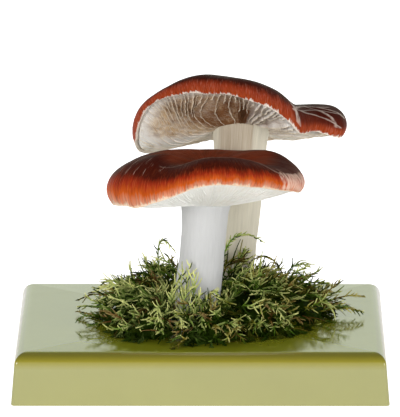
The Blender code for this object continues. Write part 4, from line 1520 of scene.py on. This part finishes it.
class Tangle:
    """A clump's moss: how far it reaches, and the lines that it grows along, with numbers for each point."""

    def __init__(self, name, seed):
        self.name, self.seed = name, seed
        self.middle = Vector((*CLUMPS[name], 0)) * MM
        self.reaches = [clump_reach(name, azimuth) for azimuth in azimuths(CLUMP_SIDES)]
        self.area = sum(reach**2 for reach in self.reaches) * math.pi / CLUMP_SIDES
        self.verts, self.edges, self.faces = [], [], []
        self.data = {"thick": [], "along": [], "tint": [], "leafy": [], "lit": [], "sprig": []}

    def spot(self, part, azimuth, height=0):
        """A point in the clump, this part of its reach away from its middle."""
        place = azimuth / math.tau % 1 * CLUMP_SIDES
        index = int(place)
        low, high = self.reaches[index % CLUMP_SIDES], self.reaches[(index + 1) % CLUMP_SIDES]
        return self.middle + polar(part * mix(low, high, place - index), azimuth, height)

    def line(self, points, thick, along, tint, leafy, glow=1.0):
        """Adds a line and the numbers for its points, which change from its root to its tip."""
        start = len(self.verts)
        last = len(points) - 1
        for k, point in enumerate(points):
            part = k / last
            point = kept_clear(point, SPRIG_CLEAR)
            self.verts.append(point)
            self.data["thick"].append(mix(*thick, part))
            self.data["along"].append(mix(*along, part))
            self.data["tint"].append(tint)
            self.data["leafy"].append(leafy * mix(1.0, 0.6, part))
            self.data["lit"].append(glow * mix(0.25, 1.0, shown(point)))
            self.data["sprig"].append(1.0)
        self.edges += [(start + k, start + k + 1) for k in range(last)]

    def shell(self, rings, start, end):
        """Adds faces instead, for the heart, which is painted as shade."""
        first = len(self.verts)
        verts, faces = loft(rings, start, end)
        self.verts += verts
        self.faces += [tuple(first + k for k in face) for face in faces]
        # No light: the leaf colour paints the heart in shade
        numbers = {"thick": 0.0, "along": 0.2, "tint": 0.3, "leafy": 0.0, "lit": 0.0, "sprig": 0.0}
        for key, value in numbers.items():
            self.data[key] += [value] * len(verts)


def eased(points, count):
    """Points spread evenly on a smooth curve through the given ones."""
    last = len(points) - 1
    result = []
    for k in range(count):
        place = k / (count - 1) * last
        index = min(int(place), last - 1)
        t = place - index
        a, b = points[max(index - 1, 0)], points[index]
        c, d = points[index + 1], points[min(index + 2, last)]
        bend, twist = 2 * a - 5 * b + 4 * c - d, 3 * b - 3 * c + d - a
        result.append(0.5 * ((2 * b) + (c - a) * t + bend * t * t + twist * t**3))
    return result


def wandering_line(root, azimuth, lift, rng, step=SPRIG_STEP, sway=SPRIG_SWAY):
    """A sprig's line, which bends to one side and droops as it grows."""
    bend, droop = math.radians(rng.uniform(-sway, sway)), math.radians(rng.uniform(2, 16))
    line = [root]
    for _ in range(SPRIG_STEPS):
        line.append(line[-1] + polar(math.cos(lift), azimuth, math.sin(lift)) * step)
        azimuth += bend
        lift -= droop
    return line


def stray_line(root, bend, tip):
    """A long sprig's line, from its root towards its bend and on to its tip."""
    steps = max(5, round(((bend - root).length + (tip - bend).length) / SPRIG_STEP / 1.1))
    shares = [k / steps for k in range(steps + 1)]
    return [root.lerp(bend, part).lerp(bend.lerp(tip, part), part) for part in shares]


def grow_sprig(tangle, line, branch, tint, rng, leafy, glow):
    """A stalk with two rows of side branches that curl forwards and get shorter towards its tip."""
    look = settings("moss")
    total = sum((b - a).length for a, b in zip(line, line[1:]))
    stalk = eased(line, max(6, round(total / STALK_STEP)))
    tangle.line(stalk, STALK_THICK, (0.1, 0.85), tint, leafy, glow)
    pairs = max(3, int(total / look.branch_spacing))
    last = len(stalk) - 1
    roll = rng.uniform(-0.8, 0.8)
    for k in range(2 * pairs):
        part = 0.12 + 0.86 * (k + rng.uniform(0, 0.7)) / (2 * pairs)
        place = part * last
        index = min(int(place), last - 1)
        root = stalk[index].lerp(stalk[index + 1], place - index)
        ahead = (stalk[index + 1] - stalk[index]).normalized()
        side = ahead.cross(Vector((0, 0, 1)))
        side = side.normalized() if side.length > 0.2 else Vector((1, 0, 0))
        above = side.cross(ahead)
        turn = roll + rng.uniform(-0.5, 0.5) + (math.pi if k % 2 else 0)
        aside = side * math.cos(turn) + above * math.sin(turn)
        size = branch * math.sin(math.pi * (0.2 + 0.66 * part)) ** 0.8 * rng.uniform(0.55, 1.2)
        angle = math.radians(rng.uniform(38, 70))
        out = (ahead * math.cos(angle) + aside * math.sin(angle)).normalized()
        curl = ahead * rng.uniform(0.2, 0.8) - aside * rng.uniform(0, 0.6)
        curl += Vector((0, 0, rng.uniform(-0.55, 0.4)))
        curl += ahead.cross(aside) * rng.uniform(-0.7, 0.7)
        points = [root + out * size * t + curl * size * 0.8 * t * t for t in (0.0, 0.25, 0.5, 0.75, 1.0)]
        low = mix(0.25, 0.8, part)
        shine = glow * rng.choice((0.15, 0.6, 1.1, 1.6))
        tangle.line(points, BRANCH_THICK, (low, min(1.0, low + 0.5)), tint, leafy, shine)


def green_of(point, rng):
    """How green a sprig is: 0 brown, 0.5 green and 1 yellow-green. The right side is browner."""
    tint = 0.62 - 0.24 * point.x / (60 * MM) + rng.gauss(0, 0.2)
    if rng.random() < 0.1:
        tint = rng.uniform(0.0, 0.2)
    return max(0.0, min(1.0, tint))


def heading_out(root, stray, rng):
    """The azimuth from the mound's middle out through a root, turned aside by chance."""
    aside = rng.uniform(0, stray) * MM * polar(1, rng.uniform(0, math.tau), 0).xy
    return heading_of((root - MOUND_HEART).xy + aside)


def add_shade_heart(tangle):
    """The dark heart, a shell of painted shade, which closes off the view in between the sprigs."""
    base = settings("plinth").height + GAP
    rings = []
    for part, lift in HEART_RINGS:
        ring = []
        for azimuth in azimuths(HEART_SIDES):
            point = tangle.spot(part, azimuth)
            point = tangle.middle + (point - tangle.middle) * (1 + 0.3 * noise.noise(point * 260))
            height = max(mound_height(point), 2.5 * MM) * lift
            height *= 1 + 0.35 * noise.noise(point * 170)
            ring.append(kept_clear(point + Vector((0, 0, base + height)), GAP))
        rings.append(ring)
    top = base + HEART_RINGS[-1][1] * mound_height(tangle.middle)
    tangle.shell(rings, tangle.middle + Vector((0, 0, base)), tangle.middle + Vector((0, 0, top)))


def add_main_sprigs(tangle, look):
    """The sprigs that the clump's solid has too.

    The solid draws random numbers for its heart first, and one for the length of each sprig's branches after
    its line. They are drawn here as well, so that the lines stay the same.
    """
    rng = random.Random(tangle.seed)
    for _ in range(HEART_DRAWS):
        rng.random()
    top = settings("plinth").height
    count = round(tangle.area / SPRIG_SPACING**2)
    for k in range(count):
        azimuth = math.tau * (k * 0.382 + rng.uniform(-0.05, 0.05))
        reach = tangle.reaches[round(azimuth / math.tau * CLUMP_SIDES) % CLUMP_SIDES]
        part = 0.84 * math.sqrt((k + 0.5) / count)
        root = tangle.middle + polar(part * reach, azimuth, 0)
        inner = 1 - min(1.0, mound_share(root))
        root.z = top + max((0.75 - 0.4 * part) * mound_height(root), 2 * MM)
        heading = heading_out(root, 25, rng)
        lift = math.radians(50 - 42 * part + 25 * inner + rng.uniform(-12, 12))
        line = wandering_line(root, heading, lift, rng)
        rng.random()
        fine = random.Random(tangle.seed * 1000 + k)
        short = 1 - 0.55 * min(1.0, mound_share(root)) ** 2
        grow_sprig(tangle, line, look.branch * short, green_of(root, fine), fine, 1.0, fine.uniform(0.5, 1.1))


def add_strays(tangle):
    """The sprigs that stand out of the clump, where the real ones do."""
    for source, branch in ((STRAYS, STRAY_BRANCH), (WISPS, WISP_BRANCH)):
        for clump, *points, tint in source:
            if clump == tangle.name:
                fine = random.Random(tangle.seed * 77 + len(tangle.verts))
                line = stray_line(*(Vector(point) * MM for point in points))
                grow_sprig(tangle, line, branch, tint, fine, 0.9, 1.1)


def add_crowds(tangle, look, fine):
    """Many finer sprigs in between, which get shorter towards the mound's edge."""
    top = settings("plinth").height
    for crowd, low, high, glow, size in CROWDS:
        for _ in range(round(tangle.area / look.spacing**2 * crowd)):
            azimuth = fine.uniform(0, math.tau)
            root = tangle.spot(0.92 * math.sqrt(fine.random()), azimuth)
            inner = 1 - min(1.0, mound_share(root))
            if fine.random() < 0.65 * smooth((abs(root.x - MOUND_HEART.x) / MM - THIN_FROM) / THIN_OVER):
                continue
            short = mix(0.6, 1.0, smooth(inner / 0.4))
            root.z = top + max(fine.uniform(low, high) * mound_height(root), 1.2 * MM)
            heading = heading_out(root, 45, fine)
            lift = math.radians(-12 + 75 * inner + fine.uniform(-22, 26))
            step = fine.uniform(2.4, 4.0) * MM * short
            line = wandering_line(root, heading, lift, fine, step, CROWD_SWAY)
            branch = look.branch * size * short * fine.uniform(0.6, 1.1)
            grow_sprig(tangle, line, branch, green_of(root, fine), fine, 1.0, fine.uniform(*glow))


def add_collars(tangle):
    """The sprigs round each stem's foot where this clump is the nearest. Behind the rear stem they rise."""
    for mushroom, count, lifts, highest in COLLARS:
        for azimuth in azimuths(count):
            own = random.Random(round(azimuth * 1000) + mushroom.seed * 10000)
            part = own.uniform(0.04, highest)
            away = stem_radius(mushroom, part) + own.uniform(2, 7) * MM
            root = stem_point(mushroom, part) + polar(away, azimuth, 0)
            if min(CLUMPS, key=lambda clump: (root.xy - Vector(CLUMPS[clump]) * MM).length) != tangle.name:
                continue
            heading, lift = azimuth + own.uniform(-1.3, 1.3), math.radians(own.uniform(*lifts))
            if mushroom is REAR and math.cos(azimuth) < 0:
                lift += LIFT_BEHIND
            line = wandering_line(root, heading, lift, own, own.uniform(1.8, 3.2) * MM)
            grow_sprig(tangle, line, COLLAR_BRANCH, green_of(root, own), own, 1.0, own.uniform(0.3, 1.1))


def add_dead_stalks(tangle, fine):
    """Thin bare stalks that lie out over the plinth at the mound's edge."""
    top = settings("plinth").height
    for _ in range(DEAD_STALKS):
        azimuth = fine.uniform(0, math.tau)
        root = tangle.spot(0.9, azimuth, top + fine.uniform(1, 6) * MM)
        if mound_share(root) > 0.75:
            heading = heading_of((root - MOUND_HEART).xy) + fine.uniform(-0.7, 0.7)
            lift = math.radians(fine.uniform(-6, 22))
            line = wandering_line(root, heading, lift, fine, fine.uniform(2.0, 3.4) * MM)
            tangle.line(eased(line, 9), DEAD_THICK, (0.4, 0.7), fine.uniform(0, 0.2), 0.35)


def make_tangle(name, seed, look):
    """A clump's heart of painted shade, the sprigs that its solid has, and many finer ones between them."""
    tangle = Tangle(name, seed)
    fine = random.Random(seed * 31 + look.seed)
    add_shade_heart(tangle)
    add_main_sprigs(tangle, look)
    add_strays(tangle)
    add_crowds(tangle, look, fine)
    add_collars(tangle)
    add_dead_stalks(tangle, fine)
    return tangle


def moss_tree():
    """Turns lines into stalks thick with small leaves. Faces pass through."""
    found = bpy.data.node_groups.get("Moss sprigs")
    if found:
        return found
    inputs = {"Stalk Sides": 3, "Leaf Length": 0.001, "Leaf Width": 0.0004, "Leaf Spacing": 0.0006}
    tree, given, end = geometry_tree("Moss sprigs", {**inputs, "Leaf Lean": 0.5, "Seed": 0})

    def chance(low, high, offset):
        made = tree.nodes.new("FunctionNodeRandomValue")
        made.data_type = "FLOAT"
        floats = [socket for socket in made.inputs if socket.type == "VALUE" and socket.enabled]
        floats[0].default_value, floats[1].default_value = low, high
        feed(tree, made.inputs["Seed"], calc(tree, "ADD", given.outputs["Seed"], offset))
        return next(socket for socket in made.outputs if socket.enabled)

    is_sprig = calc(tree, "GREATER_THAN", named(tree, "sprig"), 0.5)
    _, shade_hearts = parted(tree, given.outputs["Geometry"], is_sprig)
    lines = add(tree, "GeometryNodeMeshToCurve", {"Mesh": given.outputs["Geometry"], "Selection": is_sprig})
    circle = {"Resolution": given.outputs["Stalk Sides"], "Radius": 1.0}
    section = add(tree, "GeometryNodeCurvePrimitiveCircle", circle)
    stalk = {"Curve": lines, "Profile Curve": section, "Scale": named(tree, "thick"), "Fill Caps": True}
    stalks = add(tree, "GeometryNodeCurveToMesh", stalk)

    width, height = given.outputs["Leaf Width"], given.outputs["Leaf Length"]
    cone = {"Vertices": 3, "Radius Top": 0.0, "Radius Bottom": width, "Depth": height}
    flat = {"Geometry": add(tree, "GeometryNodeMeshCone", cone), "Scale": (1.0, 0.4, 1.0)}
    leaf = add(tree, "GeometryNodeTransform", flat)

    spots = tree.nodes.new("GeometryNodeCurveToPoints")
    spots.mode = "LENGTH"
    feed(tree, spots.inputs["Curve"], lines)
    feed(tree, spots.inputs["Length"], given.outputs["Leaf Spacing"])
    aim = add(tree, "FunctionNodeAlignRotationToVector", {"Vector": spots.outputs["Tangent"]}, axis="Z")
    turn = add(tree, "ShaderNodeCombineXYZ", 0.0, 0.0, chance(0.0, math.tau, 1.0))
    spin = {"Rotation": aim, "Rotate By": add(tree, "FunctionNodeEulerToRotation", turn)}
    spun = add(tree, "FunctionNodeRotateRotation", spin, rotation_space="LOCAL")
    tip = calc(tree, "MULTIPLY", given.outputs["Leaf Lean"], chance(0.6, 1.5, 2.0))
    tip = add(tree, "ShaderNodeCombineXYZ", tip, 0.0, 0.0)
    lean = {"Rotation": spun, "Rotate By": add(tree, "FunctionNodeEulerToRotation", tip)}
    leant = add(tree, "FunctionNodeRotateRotation", lean, rotation_space="LOCAL")
    size = calc(tree, "MULTIPLY", named(tree, "leafy"), chance(0.7, 1.2, 3.0))

    # How far each leaf faces up, which the leaf colour uses for painted shade and highlight
    outward = add(tree, "FunctionNodeRotateVector", {"Vector": (0.0, -1.0, 0.0), "Rotation": spun})
    upward = add(tree, "ShaderNodeSeparateXYZ", outward, outputs="Z")
    kept = {"Geometry": spots.outputs["Points"], "Name": "up", "Value": upward}
    points = add(tree, "GeometryNodeStoreNamedAttribute", kept, data_type="FLOAT", domain="POINT")
    placed = {"Points": points, "Instance": leaf, "Rotation": leant, "Scale": size}
    leaves = add(tree, "GeometryNodeInstanceOnPoints", placed)
    end(joined(tree, leaves, stalks, shade_hearts))
    return tree


def moss_leaf(look):
    """Painted shade makes it dark deep in the mound, towards each line's root and on leaves that face down.
    Its newest tips are bright, with a painted highlight where they face up and get light. Brown where it has
    died.
    """
    found = bpy.data.materials.get("moss_leaf")
    if found:
        return found
    made, tree, shader = surface("moss_leaf", roughness=0.6, specular_ior_level=0.03)
    place = add(tree, "ShaderNodeTexCoord", outputs="Object")
    spots, specks = mottle(tree, place, 120.0, 0.8), mottle(tree, place, 420.0, 0.6)
    tint = calc(tree, "ADD", attribute(tree, "tint"), swing(tree, spots, 0.6))
    tones = tones_of(look, "bright", "green", "olive", "brown")
    middle = between(tones["green"], tones["bright"], 0.45)
    base = ramp(
        tree, tint,
        (0.0, tones["brown"]), (1.0, middle), (0.28, tones["olive"]), (0.55, tones["green"]),
    )
    along, lit, up = (attribute(tree, key) for key in ("along", "lit", "up"))
    # Newest tips, with a painted highlight where they face up and get light
    young_tips_and_highlight = calc(tree, "MULTIPLY", remap(tree, along, 0.5, 0.95), remap(tree, lit, 0.4, 0.85))
    young_tips_and_highlight = calc(tree, "MULTIPLY", young_tips_and_highlight, remap(tree, up, -0.5, 0.7))
    young_tips_and_highlight = calc(tree, "MULTIPLY", young_tips_and_highlight, remap(tree, tint, 0.1, 0.6, 0.6, 1.9), clamp=True)
    base = blend(tree, young_tips_and_highlight, base, tones["bright"])
    # Painted shade: a near black green deep in the mound, towards each line's root and on leaves that face
    # down
    dark = tuple(value * part for value, part in zip(tones["green"], (0.06, 0.075, 0.02)))
    base = blend(tree, remap(tree, lit, 0.1, 0.85, 0.95, 0.0), base, dark)
    base = blend(tree, remap(tree, along, 0.1, 0.6, 0.85, 0.0), base, dark)
    base = blend(tree, remap(tree, up, -1.0, 0.25, 0.9, 0.0), base, dark)
    base = blend(tree, remap(tree, specks, 0.55, 0.7, 0.0, 0.3), base, dark)
    feed(tree, shader.inputs["Base Color"], base)
    add_bump(tree, shader, spots, 0.0003, 0.6)
    return made


def make_moss(name, seed):
    """A clump of moss as one mesh: its dark heart of painted shade, its stalks and their leaves."""
    look = settings("moss")
    tangle = make_tangle(name, seed, look)
    made = new_object(name + "_sprigs", tangle.verts, tangle.faces, tangle.data, tangle.edges)
    grow(
        made, moss_tree(), Leaf_Length=look.leaf_length, Leaf_Width=look.leaf_width,
        Leaf_Spacing=look.leaf_spacing, Leaf_Lean=LEAF_LEAN, Seed=seed + look.seed, Material=moss_leaf(look),
    )
    finish_piece(made, [name], 0)
    made.data.shade_flat()


# Stage

# The photograph's view, in degrees, metres and pixels
VIEW_AZIMUTH = 0.18
VIEW_ELEVATION = 10.684
VIEW_DISTANCE = 4.012
VIEW_HEIGHT = 0.07854
PHOTO_HEIGHT = 417
PIXELS_A_METRE = 2068.4
PIXELS_ASIDE = -0.923
SENSOR = 36
VIEW_END = 20

KEY_PLACE = (-1.6, -2.6, 0.9)
FILL_PLACE = (1.9, -2.3, 0.7)
LIGHT_SIZE = 1.3
LIGHT_TARGET = Vector((0, 0, 0.07))
FLOOR_SIDES = 64
FLOOR_RADIUS = 3
FLOOR_TOP = -0.0006
FLOOR_BOTTOM = -0.02


def make_camera():
    """Level with the photograph's view: a long lens, a little above the floor."""
    data = bpy.data.cameras.new("camera")
    camera = bpy.data.objects.new("camera", data)
    bpy.context.scene.collection.objects.link(camera)
    azimuth, elevation = math.radians(VIEW_AZIMUTH), math.radians(VIEW_ELEVATION)
    back = polar(math.cos(elevation), azimuth, math.sin(elevation))
    camera.location = Vector((0, 0, VIEW_HEIGHT)) + back * VIEW_DISTANCE
    camera.rotation_euler = (-back).to_track_quat("-Z", "Y").to_euler()
    data.sensor_width = SENSOR
    data.lens = SENSOR * PIXELS_A_METRE * VIEW_DISTANCE / PHOTO_HEIGHT
    data.shift_x = PIXELS_ASIDE / PHOTO_HEIGHT
    data.clip_end = VIEW_END
    bpy.context.scene.camera = camera


def soft_light(name, place, watts):
    data = bpy.data.lights.new(name, "AREA")
    data.shape, data.size, data.energy = "DISK", LIGHT_SIZE, watts
    light = bpy.data.objects.new(name, data)
    bpy.context.scene.collection.objects.link(light)
    light.location = place
    light.rotation_euler = (LIGHT_TARGET - Vector(place)).to_track_quat("-Z", "Y").to_euler()


def make_surround(look):
    """A white surround that is bright round the horizon and dimmer overhead."""
    world = bpy.data.worlds.new("surround")
    bpy.context.scene.world = world
    world.use_nodes = True
    tree = world.node_tree
    shader = tree.nodes["Background"]
    way = add(tree, "ShaderNodeTexCoord", outputs="Generated")
    height = add(tree, "ShaderNodeSeparateXYZ", way, outputs="Z")
    dim, dimmer = shaded(WHITE, 0.3), shaded(WHITE, 0.2)
    tone = ramp(tree, height, (0.0, WHITE), (1.0, dimmer), (0.3, WHITE), (0.55, dim))
    rays = tree.nodes.new("ShaderNodeLightPath")
    tone = blend(tree, rays.outputs["Is Glossy Ray"], tone, (1.02, 1.1, 0.94), "MULTIPLY")
    feed(tree, shader.inputs["Color"], blend(tree, rays.outputs["Is Camera Ray"], tone, WHITE))
    shader.inputs["Strength"].default_value = look.surround


def make_floor(look):
    """A large white floor, lit so evenly that it keeps no shadow."""
    heights = (FLOOR_BOTTOM, FLOOR_TOP)
    sides = azimuths(FLOOR_SIDES)
    rings = [[polar(FLOOR_RADIUS, azimuth, height) for azimuth in sides] for height in heights]
    verts, faces = loft(rings, Vector((0, 0, FLOOR_BOTTOM)), Vector((0, 0, FLOOR_TOP)))
    floor = new_object("floor", verts, faces)
    face_out(floor)
    made, tree, shader = surface("floor_white", roughness=0.7, specular_ior_level=0.1)
    tone = (*look.floor, 1)
    shader.inputs["Base Color"].default_value = tone
    shader.inputs["Emission Color"].default_value = tone
    seen = add(tree, "ShaderNodeLightPath", outputs="Is Camera Ray")
    feed(tree, shader.inputs["Emission Strength"], remap(tree, seen, 0.0, 1.0, 0.6, 1.0))
    floor.data.materials.append(made)


# Operators


class SICKENER_OT_stage(bpy.types.Operator):
    """Sets up the floor, the soft lights and the camera"""

    bl_idname = "sickener.stage"
    bl_label = "Stage"

    def execute(self, context):
        look = settings("stage")
        context.scene.view_settings.view_transform = "Standard"
        make_floor(look)
        make_surround(look)
        soft_light("key", KEY_PLACE, look.key)
        soft_light("fill", FILL_PLACE, look.fill)
        make_camera()
        return {"FINISHED"}


class SICKENER_OT_plinth(bpy.types.Operator):
    """Makes the moulded plinth with its two sockets"""

    bl_idname = "sickener.plinth"
    bl_label = "Plinth"

    def execute(self, context):
        make_plinth()
        return {"FINISHED"}


class SICKENER_OT_caps(bpy.types.Operator):
    """Makes the two red caps"""

    bl_idname = "sickener.caps"
    bl_label = "Caps"

    def execute(self, context):
        for mushroom in MUSHROOMS:
            make_cap(mushroom)
        return {"FINISHED"}


class SICKENER_OT_gills(bpy.types.Operator):
    """Makes the flesh and gills under each cap"""

    bl_idname = "sickener.gills"
    bl_label = "Gills"

    def execute(self, context):
        for mushroom in MUSHROOMS:
            make_gills(mushroom)
        return {"FINISHED"}


class SICKENER_OT_stems(bpy.types.Operator):
    """Makes the two stems"""

    bl_idname = "sickener.stems"
    bl_label = "Stems"

    def execute(self, context):
        for mushroom in MUSHROOMS:
            make_stem(mushroom)
        return {"FINISHED"}


class SICKENER_OT_moss(bpy.types.Operator):
    """Makes the clumps of moss round the stems"""

    bl_idname = "sickener.moss"
    bl_label = "Moss"

    def execute(self, context):
        for seed, name in enumerate(CLUMPS):
            make_moss(name, seed)
        return {"FINISHED"}


OPERATORS = (
    SICKENER_OT_stage,
    SICKENER_OT_plinth,
    SICKENER_OT_caps,
    SICKENER_OT_gills,
    SICKENER_OT_stems,
    SICKENER_OT_moss,
)


class SICKENER_PT_panel(bpy.types.Panel):
    """Lists the pieces with their sizes and colours"""

    bl_idname = "SICKENER_PT_panel"
    bl_label = "Sickener model"
    bl_space_type = "VIEW_3D"
    bl_region_type = "UI"
    bl_category = "Sickener"

    def draw(self, context):
        for operator in OPERATORS:
            box = self.layout.box()
            box.operator(operator.bl_idname)
            group = settings(operator.bl_idname.split(".")[1])
            for key in type(group).__annotations__:
                box.prop(group, key)


CLASSES = (*SETTINGS.values(), *OPERATORS, SICKENER_PT_panel)


def register():
    for item in CLASSES:
        bpy.utils.register_class(item)
    for name, group in SETTINGS.items():
        setattr(bpy.types.Scene, "sickener_" + name, bpy.props.PointerProperty(type=group))


def unregister():
    for name in SETTINGS:
        delattr(bpy.types.Scene, "sickener_" + name)
    for item in reversed(CLASSES):
        bpy.utils.unregister_class(item)


def main():
    register()
    bpy.ops.sickener.stage()
    bpy.ops.sickener.plinth()
    bpy.ops.sickener.caps()
    bpy.ops.sickener.gills()
    bpy.ops.sickener.stems()
    bpy.ops.sickener.moss()


if __name__ == "__main__":
    main()
